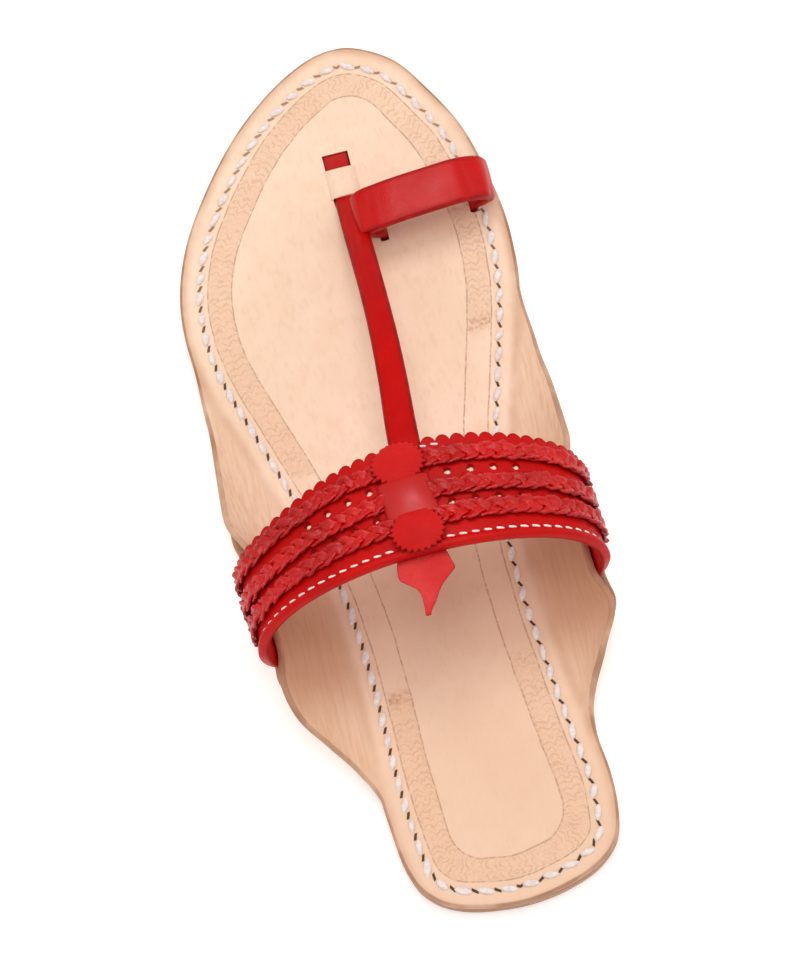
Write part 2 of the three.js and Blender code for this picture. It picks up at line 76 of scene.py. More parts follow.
# Band: lateral y, medial y, apex x, apex y, apex z, lateral bow, medial bow
BAND_FRONT = np.array((-18.2, -12.6, 4, -4.4, 52, 2.6, 1.8))
BAND_REAR = np.array((-46, -42.4, 4, -37.4, 57, 1.1, 1))
BAND_HALF, BAND_TUCK, BAND_BULGE, BAND_SIDE_RISE, BAND_LEAST_BOW = 1.1, 0.5, 0.9, 10.0, 0.5
CENTRE = 0.505
SCALLOPS, SCALLOP_DEPTH = 42, 1.7
ROLL_PLACE, ROLL_SPAN, ROLL_HEIGHT = 0.96, 0.042, 0.8  # the rolled rear edge
FOLD_PLACE = 0.925  # behind it the band is folded and shows no cut edge
HOLE_ROWS = ((0.34, 9.4, 12.1), (0.615, 9.6, 10.7))  # place on the band, first lateral and medial hole
HOLE_PITCH, HOLE_HALF, HOLE_TAPER, HOLES = 6.2, 1.0, 0.12, 4
LINING_SHIFT = (0.15, -0.4, 0.0)

# Centre strap, toe loop and their openings in the insole
STRAP_HALF, STRAP_EDGE = 1.05, 0.65
STRAP_LINE = np.array([  # y, x, z, width
    (102.5, 4.3, 6.5, 6.6), (95, 4.3, 6.1, 6.6), (88.5, 4.6, 6.1, 6.8), (84, 4.8, 8.8, 7.2),
    (80, 4.9, 11.8, 7.4), (72, 4.9, 17.2, 7.4), (60, 5.1, 25, 7.3), (45, 5.3, 33.5, 7.3),
    (30, 5.2, 40.5, 7.6), (15, 4.6, 46, 8), (3, 3.8, 49.9, 8.4), (-5, 3.4, 52.3, 8.6), (-11, 3.2, 53.6, 8.8),
])
STRAP_END_EXTRA, STRAP_END = 1.3, (92.5, 95.0)  # its end in the window is wider
STRAP_CREASE = (-0.25, 0.2, 0.25)  # place across the strap, half width, depth
LOOP_HALF, LOOP_FRONT, LOOP_REAR, LOOP_MIDDLE_X, LOOP_SKEW = 1.1, 83.3, 69.8, 27.0, 0.07
LOOP_LINE = np.array([  # x, z, how far the rear edge is drawn in
    (12.6, 5.2, 2.6), (12.2, 8, 2.6), (8.9, 12.2, 2), (6.7, 16.2, 0.9), (7.9, 20, 0.1), (14.4, 21.7, 0),
    (27, 22.1, 0), (37, 21.6, 0), (42.4, 18.8, 0.1), (44, 14.4, 0.9), (42.4, 10.6, 2), (39.8, 8, 2.6),
    (38.4, 5.4, 2.6),
])
LOOP_CREASES = (  # place along the loop, half width, depth, lean to the rear
    (0.205, 0.016, 0.4, 0.012), (0.29, 0.02, 0.3, -0.02),
    (0.69, 0.018, 0.35, 0.015), (0.8, 0.016, 0.3, -0.01),
)
WINDOW_LOW, WINDOW_HIGH = (0.65, 95.5, 6.2), (8.15, 100.1, 14.0)
KEEPER_X, KEEPER_FRONT, KEEPER_REAR, KEEPER_HALF = 4.7, 95.4, 86.2, 4.8
KEEPER_DROP, KEEPER_SAG, KEEPER_NECK, KEEPER_RISE = 0.35, 0.35, 0.25, (1.1, 2.2)

# Plaits, their wrap, discs and leaf: places are along the band, from 0 at its front to 1 at its rear edge
PLAITS = {"plait_front": ("braid_front", 0.21), "plait_middle": ("braid_middle", 0.495),
          "plait_rear": ("braid_rear", 0.722)}
PLAIT_TOP = 2.7  # over the band's middle
PLAIT_START, PLAIT_END, PLAIT_PITCH, PLAIT_SECTIONS, STRANDS = 0.066, 0.934, 12.2, 18, 3
PLAIT_SWING, PLAIT_LIFT, PLAIT_WIDE, PLAIT_HIGH, PLAIT_BASE = 1.55, 0.42, 1.32, 0.62, 1.85
PLAIT_TAPER, PLAIT_FLAT, PLAIT_LEAN = 0.07, 0.45, 0.6  # share at each end, flatness there, a strand's tilt
FOLD_DEPTH, FOLD_WIDTH, PUCKER = 0.42, 0.38, 0.5
ROLL_HALF, ROLL_MIDDLE, ROLL_REACH, ROLL_FULL, ROLL_CROWN, WRAP_HALF = 6.7, 0.511, 0.179, 0.17, 1.1, 0.45
DISCS = {"disc_front": ("medallion_front", 0.206, 7.5, 6.4), "disc_rear": ("medallion_rear", 0.817, 7.3, 6.7)}
TEETH, TOOTH_STEPS, TOOTH_DEPTH = 24, 8, 0.13
DISC_HEIGHT, DISC_HALF, DISC_EDGE = 1.55, 0.5, 0.08  # over the plaits, half the leather, share of its edge
LEAF_HALF, LEAF_DROOP, LEAF_CUP = 0.7, 20.0, 0.5
LEAF_ROWS = np.array([  # along, half width, shift
    (0.906, 6.2, -0.8), (1.022, 7.1, -0.8), (1.12, 7.5, -0.9), (1.15, 6.7, -1.1), (1.19, 5, -1.5),
    (1.23, 3.5, -1.9), (1.28, 2.4, -2.5), (1.35, 1.5, -3.2), (1.433, 0.25, -3.9),
])

# Stitches and embossing
STITCH_INSET, STITCHES_PER_SIDE, STITCH_SINK = 5.8, 47, 0.3
STITCH_SIZE = np.array((2.45, 0.98, 0.7))  # half length, half width, height
STITCH_SPREAD, STITCH_SLANT, SLANT_SPREAD = 0.09, -16, 5
TROUGH_DEPTH, TROUGH_WIDTH = 0.3, 0.8  # of the groove the thong stitches lie in
EDGE_FALL, EDGE_FALL_WIDTH = 0.25, 4.5
THREAD_PLACE, THREAD_PITCH, THREAD_START, THREAD_END = 0.908, 3.15, 0.1, 0.905
THREAD_HALF, THREAD_WIDE, THREAD_HIGH, THREAD_BREAK = 1.2, 0.37, 0.3, 7.4
FRONT_THREADS, FRONT_THREAD_PLACE = (7.4, 10.6), 0.085  # where the front seam shows beside the disc
GROOVE_DEPTH, GROOVE_WIDTH = 0.3, 0.007
OUTER_LINE, INNER_LINE = 8.1, 14.9
INNER_HEEL, INNER_TOE = 1.3, 0.5  # how much nearer to the edge the inner line lies there
STAMP_ROWS = 135.0  # on each side, from toe to heel
STAMP_ENDS = {LATERAL: (8.0, -59.0), MEDIAL: (38.0, -56.0)}  # front and rear y, between which it is bare
HEEL_SHIFT, HEEL_SHIFT_SPAN = 1.4, (100, 120)  # how much nearer to the edge all of these lie at the heel
ROUND_INSET = 24.0  # the inner line's corners are as round as an outline drawn this far in

# Dark edges: the smaller the value, the wider they are. On the strap and loop they are painted shade that
# rounds them, on the band they are cut edges.
STRAP_SHADE, LOOP_SHADE, BAND_SHADE = 0.4, 0.22, 0.45
PLAIT_SHADE, UNSHADED = 2.1, 9.0  # from a plait's middle, where the band beside it gets painted shade


# Curves

def hermite(a, b, slope_a, slope_b, f):
    return a + (b - a) * f * f * (3 - 2 * f) + slope_a * f * (1 - f) ** 2 + slope_b * f * f * (f - 1)


def smooth(value, low, high):
    """0 up to low and 1 from high on, with a soft rise between them."""
    f = np.clip((value - low) / (high - low), 0, 1)
    return f * f * (3 - 2 * f)


def bell(value, middle, width):
    """1 at the middle, falling softly to 0 on both sides."""
    return np.exp(-((value - middle) / width) ** 2)


def unit(vectors):
    return vectors / np.maximum(np.linalg.norm(vectors, axis=-1, keepdims=True), 1e-9)


def net(*coordinates):
    """Points with these coordinates, each given as a net, a row, a column or one number."""
    return np.stack(np.broadcast_arrays(*coordinates), axis=-1)


def column(table, index, place):
    """One column of a table, read along a smooth curve over its first column."""
    rows = table[np.argsort(table[:, 0])]
    keys, values = rows[:, 0], rows[:, index]
    slopes = np.zeros(len(keys))
    slopes[1:-1] = (values[2:] - values[:-2]) / (keys[2:] - keys[:-2])
    place = np.clip(place, keys[0], keys[-1])
    i = np.clip(np.searchsorted(keys, place, side="right") - 1, 0, len(keys) - 2)
    span = keys[i + 1] - keys[i]
    return hermite(values[i], values[i + 1], span * slopes[i], span * slopes[i + 1], (place - keys[i]) / span)


def runs_of(points, axis=0):
    """How far along a line, or along one axis of a net, each of its points lies."""
    steps = np.linalg.norm(np.diff(points, axis=axis), axis=-1)
    return np.insert(np.cumsum(steps, axis=axis), 0, 0, axis=axis)


def even(line, count):
    """The line drawn again with count even steps."""
    run = runs_of(line)
    places = np.linspace(0, run[-1], count + 1)
    return np.stack([np.interp(places, run, line[:, k]) for k in range(line.shape[1])], axis=1)


def through(knots, fine):
    """A smooth open curve through the knots."""
    points = np.vstack([2 * knots[0] - knots[1], knots, 2 * knots[-1] - knots[-2]])
    roots = np.sqrt(np.linalg.norm(np.diff(points, axis=0), axis=1))[:, None]
    f = np.linspace(0, 1, fine, endpoint=False)[:, None]
    pieces = []
    for i in range(len(knots) - 1):
        a, b, c, d = points[i:i + 4]
        u, v, w = roots[i:i + 3]
        slope_b = ((b - a) / u - (c - a) / (u + v) + (c - b) / v) * v
        slope_c = ((c - b) / v - (d - b) / (v + w) + (d - c) / w) * v
        pieces.append(hermite(b, c, slope_b, slope_c, f))
    return np.vstack([*pieces, knots[-1:]])


def soft_steps(length, soft, spacing, turns=5):
    """Places from 0 to length, crowded at both ends where a leather edge is round."""
    edge = soft * (1 - np.cos(np.linspace(0, math.pi / 2, turns + 1)))
    inner = np.linspace(soft, length - soft, max(2, round((length - 2 * soft) / spacing) + 1))
    return np.concatenate([edge[:-1], inner, length - edge[:-1][::-1]])


def soft_width(soft, spacing):
    """Places from -1 to 1 across a piece, crowded at its edges."""
    return soft_steps(2.0, soft, spacing) - 1


def quarter_round(radius, count):
    """How far each step of a rounded edge lies in from the edge, and from the flat."""
    turn = np.linspace(0, math.pi / 2, count)
    return list(zip(radius * (1 - np.sin(turn)), radius * (1 - np.cos(turn))))


# Sole outline and ears

def outline_samples(fine):
    knots = np.vstack([TOE_TIP, OUTLINE[:, [2, 0]], HEEL_TIP, OUTLINE[::-1][:, [1, 0]]])
    before, start, end, after = (np.roll(knots, k, axis=0)[:, None] for k in (1, 0, -1, -2))
    f = np.linspace(0, 1, fine, endpoint=False)[None, :, None]
    return hermite(start, end, (end - before) / 2, (after - start) / 2, f).reshape(-1, 2)


def outward(loop):
    ahead = np.roll(loop, -1, axis=0) - np.roll(loop, 1, axis=0)
    return unit(np.stack([-ahead[:, 1], ahead[:, 0]], axis=1))


FINE, HALF_RING = 120, 300
EDGE = outline_samples(FINE)
HEEL_AT = FINE * (len(OUTLINE) + 1)
MEDIAL_EDGE = EDGE[:HEEL_AT + 1]
LATERAL_EDGE = np.vstack([EDGE[HEEL_AT:], EDGE[:1]])


def sole_x(side, y):
    line = MEDIAL_EDGE[::-1] if side == MEDIAL else LATERAL_EDGE
    return np.interp(y, line[:, 1], line[:, 0])


def spring(y):
    f = np.maximum(0, (y - SPRING_START) / (TOE_TIP[1] - SPRING_START))
    return SPRING * f * f


def relief(y):
    f = np.clip((y - WAIST_REAR) / (WAIST_FRONT - WAIST_REAR), 0, 1)
    return WAIST_RELIEF * np.sin(math.pi * f) ** 2


def heel_shift(y):
    return HEEL_SHIFT * smooth(-y, *HEEL_SHIFT_SPAN)


def insole_middle(y):
    return OUTSOLE_THICKNESS + GAP + INSOLE_HALF + spring(y)


def ear_size(medial, y):
    """How far an ear reaches over the sole's edge, and how high it rises."""
    sizes = ([column(EARS, first + k, y) for first in (MEDIAL_OVER, LATERAL_OVER)] for k in (0, 1))
    return [np.where(medial, *pair) for pair in sizes]


def curl_arc(over, rise):
    """Full turn and radius of the arc that a curled edge follows."""
    reach = EAR_INSET + over
    full = np.maximum(2 * np.arctan2(rise, reach), 1e-3)
    return full, reach / np.sin(full)


def curl(edge, way, over, rise, along, depth):
    """Curled leather: along is 0 where it starts to curl and 1 at the rim, depth is under its middle."""
    full, radius = curl_arc(over, rise)
    turn = full * np.maximum(along, 0)
    out = np.where(along > 0, radius * np.sin(turn), along * EAR_ROOT) - EAR_INSET
    plan = edge + way * (out + depth * np.sin(turn))[..., None]
    z = insole_middle(plan[..., 1]) + radius * (1 - np.cos(turn)) - depth * np.cos(turn)
    return np.concatenate([plan, z[..., None]], axis=-1)


def ear_point(side, y, along, depth):
    y, along, depth = np.broadcast_arrays(np.asarray(y, float), along, depth)
    edge = np.stack([sole_x(side, y), y], axis=-1)
    return curl(edge, np.array((side, 0.0)), *ear_size(side == MEDIAL, y), along, depth)


def underside(along):
    return INSOLE_HALF - EAR_THINNING * np.maximum(along, 0)


def ear_opening(y):
    """How far the ear layers stand apart: 1 where they hold the band's end, 0 where they lie together."""
    return (1 - smooth(y, SPREAD_FRONT_FULL, SPREAD_FRONT)) * smooth(y, SPREAD_REAR, SPREAD_REAR_FULL)


def ear_space(along, y):
    return GAP + (2 * BAND_HALF + 2 * GAP) * smooth(along, SPREAD_START, SPREAD_FULL) * ear_opening(y)


# Band surface

TUCK_KNOTS, ARCH_KNOTS, KNOT_STEPS, ACROSS_STEPS, PLACE_STEP = 6, 6, 30, 800, 0.01
PLACES = np.arange(-0.1, 1.5, PLACE_STEP)


def band_knots(place):
    row = BAND_FRONT + (BAND_REAR - BAND_FRONT) * place
    apex = row[2:5]
    halves = []
    for side, y, bow in ((LATERAL, row[0], row[5]), (MEDIAL, row[1], row[6])):
        along = np.linspace(BAND_TUCK, 1, TUCK_KNOTS)
        tucked = ear_point(side, y, along, underside(along) + ear_space(along, y) / 2)
        rim = tucked[-1]
        turn = np.linspace(0, math.pi / 2, ARCH_KNOTS + 1)[:-1]
        side_x, side_z = rim[0] + side * BAND_BULGE, rim[2] + BAND_SIDE_RISE
        rise = np.sin(turn)
        arch = net(apex[0] + (side_x - apex[0]) * np.cos(turn),
                   y + (apex[1] - y) * rise ** max(bow, BAND_LEAST_BOW),
                   side_z + (apex[2] - side_z) * rise)
        halves.append(np.vstack([tucked, arch]))
    return np.vstack([halves[0], apex[None], halves[1][::-1]])


def band_line(place):
    return even(through(band_knots(place), KNOT_STEPS), ACROSS_STEPS)


BAND_NET = np.array([band_line(place) for place in PLACES])


def band_point(across, place):
    across, place = np.broadcast_arrays(np.asarray(across, float), np.asarray(place, float))
    u = np.clip((place - PLACES[0]) / PLACE_STEP, 0, len(PLACES) - 1.001)
    v = np.clip(across * ACROSS_STEPS, 0, ACROSS_STEPS - 0.001)
    i, j = u.astype(int), v.astype(int)
    fu, fv = (u - i)[..., None], (v - j)[..., None]
    front = BAND_NET[i, j] * (1 - fv) + BAND_NET[i, j + 1] * fv
    rear = BAND_NET[i + 1, j] * (1 - fv) + BAND_NET[i + 1, j + 1] * fv
    return front * (1 - fu) + rear * fu


def band_normal(across, place):
    small = 0.01
    down = band_point(across, place + small) - band_point(across, place - small)
    along = band_point(across + small, place) - band_point(across - small, place)
    return unit(np.cross(down, along))


def over_band(across, place, height):
    return band_point(across, place) + band_normal(across, place) * np.asarray(height, float)[..., None]


BAND_WIDTH = float(np.linalg.norm(band_point(CENTRE, 0) - band_point(CENTRE, 1)))
BAND_LENGTH = float(runs_of(band_line(0.5))[-1])


# Meshes

def to_frame(points):
    return (np.asarray(points, float) - ORIGIN) * MM


def mesh_points(mesh):
    flat = np.zeros(len(mesh.vertices) * 3)
    mesh.vertices.foreach_get("co", flat)
    return flat.reshape(-1, 3) / MM + ORIGIN


def set_values(mesh, **values):
    """Gives the mesh named values for its vertices, each as an array or one number for all."""
    for name, value in values.items():
        layer = mesh.attributes.get(name) or mesh.attributes.new(name, "FLOAT", "POINT")
        layer.data.foreach_set("value", np.full(len(mesh.vertices), value, np.float32))


def grid_faces(rows, columns, wrap=False):
    """Quads of a net of vertices whose columns run medial while its rows run to the heel."""
    i, j = np.meshgrid(np.arange(rows - 1), np.arange(columns if wrap else columns - 1), indexing="ij")
    k = (j + 1) % columns
    quads = [i * columns + j, (i + 1) * columns + j, (i + 1) * columns + k, i * columns + k]
    return np.stack(quads, axis=-1).reshape(-1, 4)


class Body:
    """Vertices in millimetres, faces, and named values for each vertex."""

    def __init__(self):
        self.points, self.faces, self.values, self.count = [], [], {}, 0

    def add(self, points, faces, **values):
        """Adds vertices, and faces that count from the first of them: numbers below 0 are earlier ones."""
        points = np.asarray(points, float).reshape(-1, 3)
        self.faces += [[int(v) + self.count for v in face] for face in faces]
        self.points.append(points)
        for name, value in values.items():
            self.values.setdefault(name, []).append(np.broadcast_to(value, len(points)))
        self.count += len(points)
        return self

    def mesh(self):
        mesh = bpy.data.meshes.new("leather")
        mesh.from_pydata(to_frame(np.vstack(self.points)).tolist(), [], self.faces)
        set_values(mesh, **{name: np.concatenate(parts) for name, parts in self.values.items()})
        return mesh

    def place(self, name, material, slot=None, *nodes):
        return place_piece(self.mesh(), name, material, slot, *nodes)


def place_piece(mesh, name, material, slot=None, *nodes):
    """Puts a finished mesh into the scene in place of the given solids."""
    mesh.name = name
    mesh.materials.clear()
    mesh.materials.append(material)
    mesh.polygons.foreach_set("use_smooth", np.ones(len(mesh.polygons), bool))
    piece = bpy.data.objects.new(name, mesh)
    bpy.context.scene.collection.objects.link(piece)
    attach(piece, "root")
    if nodes:
        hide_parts(*nodes)


def leather(grid, above, below, soft, shade=1.0):
    """A closed leather sheet round a net of points. Its edges are rounded over soft millimetres."""
    rows, columns = grid.shape[:2]
    normal = unit(np.cross(np.gradient(grid, axis=0), np.gradient(grid, axis=1)))
    down, across = runs_of(grid, 0), runs_of(grid, 1)
    edge = np.minimum(np.minimum(down, down[-1:] - down), np.minimum(across, across[:, -1:] - across))
    full = np.sqrt(np.clip(1 - (1 - np.clip(edge / soft, 0, 1)) ** 2, 0, 1))
    middle = (np.asarray(above, float) - below) / 2
    half = (np.asarray(above, float) + below) / 2 * full
    top = grid + normal * (middle + half)[..., None]
    under = grid + normal * (middle - half)[..., None]
    # Both sides share the vertices of the outer edge
    count = rows * columns
    ids = np.arange(count).reshape(rows, columns)
    inner = np.zeros((rows, columns), bool)
    inner[1:-1, 1:-1] = True
    low_ids = np.where(inner, ids + count, ids)
    faces = grid_faces(rows, columns)
    low = low_ids.ravel()[faces[:, ::-1]]
    kept = np.concatenate([np.ones(count, bool), inner.ravel()])
    renumber = np.cumsum(kept) - 1
    points = np.concatenate([top.reshape(-1, 3), under.reshape(-1, 3)])[kept]
    rim = np.tile(edge.ravel(), 2)[kept] * shade
    return Body().add(points, renumber[np.concatenate([faces, low])], rim=rim)


def boolean(mesh, other, operation):
    """The mesh with another cut away from it or joined to it."""
    target = bpy.data.objects.new("target", mesh)
    tool = bpy.data.objects.new("tool", other)
    for item in (target, tool):
        bpy.context.scene.collection.objects.link(item)
    step = target.modifiers.new("step", "BOOLEAN")
    step.operation, step.solver, step.object = operation, "MANIFOLD", tool
    done = bpy.data.meshes.new_from_object(target.evaluated_get(bpy.context.evaluated_depsgraph_get()))
    for item in (target, tool):
        bpy.data.objects.remove(item)
    return done


def ripple(points, size, seed=0.0):
    """Smooth noise from about -1 to 1 at each point, with bumps of the given size in millimetres."""
    shifted = np.asarray(points, float) / size + seed
    return np.array([noise.noise(Vector(p)) for p in shifted.reshape(-1, 3)]).reshape(shifted.shape[:-1])


def tube(line, up, halves, sections=12, square=0.8):
    """A closed tube along a line, with an oval section of two half widths: sideways and up."""
    ahead = unit(np.gradient(line, axis=0))
    side = unit(np.cross(ahead, up))
    top = np.cross(side, ahead)
    turn = np.linspace(0, 2 * math.pi, sections, endpoint=False)
    out, rise = (np.sign(wave) * np.abs(wave) ** square for wave in (np.cos(turn), np.sin(turn)))
    wide, high = (np.broadcast_to(half, len(line))[:, None, None] for half in halves)
    sideways, upward = side[:, None] * out[None, :, None] * wide, top[:, None] * rise[None, :, None] * high
    rings = line[:, None] + sideways + upward
    last = (len(line) - 1) * sections
    caps = [list(range(sections)), list(range(last, last + sections))[::-1]]
    return rings.reshape(-1, 3), grid_faces(len(line), sections, wrap=True).tolist() + caps


def flat(points):
    return net(points[:, 0], points[:, 1], 0.0)


def nearest(points, targets):
    """The nearest target to each point, and how far away it is."""
    tree = kdtree.KDTree(len(targets))
    for k, target in enumerate(targets):
        tree.insert(target, k)
    tree.balance()
    found = [tree.find(p)[1:] for p in points]
    return np.array([k for k, _ in found]), np.array([distance for _, distance in found])


# Materials

class Signal:
    """A number from a material's nodes. Arithmetic with it adds Math nodes."""

    def __init__(self, paint, socket):
        self.paint, self.socket = paint, socket

    def __add__(self, other):
        return self.paint.math("ADD", self, other)

    def __sub__(self, other):
        return self.paint.math("SUBTRACT", self, other)

    def __rsub__(self, other):
        return self.paint.math("SUBTRACT", other, self)

    def __mul__(self, other):
        return self.paint.math("MULTIPLY", self, other)

    def __abs__(self):
        return self.paint.math("ABSOLUTE", self)

    def ramp(self, low, high, to_low=0.0, to_high=1.0):
        """The signal taken softly from one range to another."""
        return self.paint.signal("MapRange", "Result", {
            "Value": self, "From Min": low, "From Max": high, "To Min": to_low, "To Max": to_high,
        }, interpolation_type="SMOOTHSTEP")


class Paint:
    """One material's nodes, by short names. The scale of noise and cells is their number in a metre."""

    def __init__(self, name, roughness, **sockets):
        self.material = bpy.data.materials.new(name)
        self.material.use_nodes = True
        self.tree = self.material.node_tree
        self.shader = self.tree.nodes["Principled BSDF"]
        self.shader.inputs["Roughness"].default_value = roughness
        for key, value in sockets.items():
            self.shader.inputs[key.replace("_", " ")].default_value = value
        self.place = self.add("TexCoord").outputs["Object"]

    def add(self, kind, inputs=None, **settings):
        node = self.tree.nodes.new("ShaderNode" + kind)
        for key, value in settings.items():
            setattr(node, key, value)
        for key, value in (inputs or {}).items():
            self.put(node.inputs[key], value)
        return node

    def put(self, socket, value):
        value = value.socket if isinstance(value, Signal) else value
        if isinstance(value, bpy.types.NodeSocket):
            self.tree.links.new(value, socket)
        else:
            socket.default_value = value

    def signal(self, kind, output, inputs=None, **settings):
        return Signal(self, self.add(kind, inputs, **settings).outputs[output])

    def math(self, operation, *values):
        return self.signal("Math", 0, dict(enumerate(values)), operation=operation)

    def value(self, name):
        return self.signal("Attribute", "Fac", attribute_name=name)

    def stretched(self, scale):
        return self.add("VectorMath", {0: self.place, 1: scale}, operation="MULTIPLY").outputs[0]

    def noise(self, scale, detail=3.0, place=None):
        inputs = {"Vector": place or self.place, "Scale": scale, "Detail": detail, "Roughness": 0.55}
        return self.signal("TexNoise", "Fac", inputs)

    def cells(self, scale, feature="F1"):
        return self.signal("TexVoronoi", "Distance", {"Vector": self.place, "Scale": scale}, feature=feature)

    def mix(self, factor, a, b):
        node = self.add("Mix", data_type="RGBA")
        self.put(node.inputs[0], factor)
        for socket, colour in ((node.inputs[6], a), (node.inputs[7], b)):
            self.put(socket, colour if isinstance(colour, bpy.types.NodeSocket) else (*colour, 1.0))
        return node.outputs[2]

    def bump(self, height, distance, strength=1.0, normal=None):
        node = self.add("Bump", {"Height": height, "Distance": distance, "Strength": strength})
        if normal:
            self.put(node.inputs["Normal"], normal)
        return node.outputs["Normal"]

    def finish(self, colour, roughness=None, normal=None):
        for name, value in (("Base Color", colour), ("Roughness", roughness), ("Normal", normal)):
            if value:
                self.put(self.shader.inputs[name], value)
        return self.material


def rgb(red, green, blue):
    """A colour given as it looks on a screen, 0 to 255, in linear light."""
    return tuple(c / 12.92 if c <= 0.04045 else ((c + 0.055) / 1.055) ** 2.4
                 for c in (red / 255, green / 255, blue / 255))


TAN_LIGHT, TAN_DEEP, TAN_BLOTCH = rgb(240, 208, 182), rgb(233, 198, 170), rgb(230, 187, 154)
TAN_GRAIN, TAN_SPECK, TAN_HEEL_SHADE = rgb(212, 165, 130), rgb(150, 95, 65), rgb(222, 180, 150)
EAR_TONE, SHADE_UNDER_BAND_TONE = rgb(213, 165, 129), rgb(190, 128, 92)
FIELD_TONE, PRESS_TONE = rgb(226, 180, 146), rgb(190, 138, 106)
MARK_TONE, LINE_TONE = rgb(176, 112, 84), rgb(160, 108, 76)
SLIT_FRONT, SLIT_REAR = rgb(112, 62, 36), rgb(58, 28, 20)
BURNISHED, RIM_TONE = rgb(196, 146, 114), rgb(142, 90, 62)
SOLE_LIGHT, SOLE_DEEP, SOLE_EDGE = rgb(212, 166, 130), rgb(193, 143, 106), rgb(150, 101, 72)
SCUFF_TONE, FIBRE_TONE = rgb(160, 115, 84), rgb(120, 78, 54)


def tan_ground(p, grain, lines, ear):
    """Mottled leather, darker on the ears, with painted shade towards the heel and beside and under the band,
    and fine lines along the ears.
    """
    mottle, blotch = p.noise(22, 4).ramp(0.35, 0.68), p.noise(140, 5).ramp(0.45, 0.75, 0.0, 0.35)
    tone = p.mix(blotch, p.mix(mottle, TAN_LIGHT, TAN_DEEP), TAN_BLOTCH)
    tone = p.mix(grain.ramp(0.48, 0.78, 0.0, 0.27), tone, TAN_GRAIN)
    specks = p.cells(75).ramp(0.045, 0.025) * p.noise(30, 1).ramp(0.54, 0.6)
    tone = p.mix(specks * 0.5, tone, TAN_SPECK)
    # Painted shade: the tan darkens towards the heel, where less light falls
    heel = p.signal("SeparateXYZ", "Y", {0: p.place}).ramp(-0.01, -0.09, 0.0, 0.6)
    tone = p.mix(heel, tone, TAN_HEEL_SHADE)
    tone = p.mix(ear * lines.ramp(0.39, 0.68, 0.26, 0.66), tone, EAR_TONE)
    # Painted shade beside and under the band
    return p.mix(p.value("worn") * 0.55, tone, SHADE_UNDER_BAND_TONE)


def stamped_border(p, tone):
    """Two thin pressed lines with rows of small waves between them; also gives the lines and the pressing."""
    border, run = p.value("border"), p.value("run")
    shaken = border + p.noise(160, 2).ramp(0.3, 0.7, -0.012, 0.012)
    line_distance = p.math("MINIMUM", abs(shaken), abs(shaken - 1.0))
    line = line_distance.ramp(0.042, 0.012) * p.noise(700, 2).ramp(0.35, 0.6, 0.35, 1.0)
    inside = border.ramp(0.02, 0.07) * border.ramp(0.99, 0.93)
    stamped = inside * p.value("stamp")
    humps = abs(p.math("SINE", border * (2 * math.pi)))
    jitter = p.noise(650, 3).ramp(0.25, 0.75, -0.32, 0.32)
    wave = abs(p.math("FRACT", run * STAMP_ROWS + humps * 0.6 + jitter) - 0.5)
    waves = wave.ramp(0.2, 0.04) * p.noise(330, 3).ramp(0.36, 0.6, 0.25, 1.0)
    dots = p.noise(2400, 2).ramp(0.52, 0.7)
    press = p.math("MAXIMUM", waves, dots * 0.6) * stamped
    field = stamped * p.value("side").ramp(-1.0, 1.0, 0.5, 0.3)
    tone = p.mix(field, tone, FIELD_TONE)
    tone = p.mix(press * 0.4, tone, PRESS_TONE)
    mark = p.value("mark") * inside * p.noise(800, 3).ramp(0.42, 0.6)
    tone = p.mix(mark * 0.6, tone, MARK_TONE)
    return p.mix(line * 0.6, tone, LINE_TONE), line, press


def awl_slits(p, tone):
    """Slits between the thong stitches, darker behind the ball of the foot; also gives the slits."""
    run = p.value("run")
    off = p.math("FRACT", run * float(STITCHES_PER_SIDE) + 0.5) - 0.5
    slant = p.value("inset") - STITCH_INSET + off * 2.6
    slit = abs(off).ramp(0.18, 0.12) * abs(slant).ramp(0.5, 0.28)
    dark = p.mix(run.ramp(0.1, 0.4), SLIT_FRONT, SLIT_REAR)
    return p.mix(slit * run.ramp(0.12, 0.42, 0.72, 0.97), tone, dark), slit


def burnished_edge(p, tone, ear):
    """A darker edge, wide where the sole is bare and thin on the ears."""
    uneven = p.noise(90, 3).ramp(0.25, 0.7, 0.35, 1.0)
    bare = (1.0 - ear) * p.value("side").ramp(-1.0, 1.0, 0.85, 0.95)
    tone = p.mix(abs(p.value("inset")).ramp(3.6, 0.2) * uneven * bare, tone, BURNISHED)
    rim = p.value("rim").ramp(1.0, 0.1) * uneven
    return p.mix(rim * 0.75, tone, RIM_TONE)


def tan_leather():
    """Natural tan leather: soft mottling, pores, stamped border, awl slits and a burnished rim."""
    p = Paint("tan_leather", 0.5, Specular_IOR_Level=0.3)
    grain = p.noise(900, 4, p.stretched((1.0, 0.35, 1.0)))
    lines = p.noise(1100, 4, p.stretched((1.0, 0.05, 1.0)))
    ear = p.value("curl").ramp(0.0, 1.0)
    tone, line, press = stamped_border(p, tan_ground(p, grain, lines, ear))
    tone, slit = awl_slits(p, tone)
    tone = burnished_edge(p, tone, ear)
    height = grain * 0.35 + p.cells(1500) * 0.18 + lines * ear * 0.5
    pressed = p.math("MAXIMUM", p.math("MAXIMUM", line, press * 0.5), slit) * -1.0
    normal = p.bump(pressed, 0.00022, 0.6, p.bump(height, 0.00013, 0.6))
    return p.finish(tone, p.noise(200, 3).ramp(0.3, 0.7, 0.46, 0.6), normal)


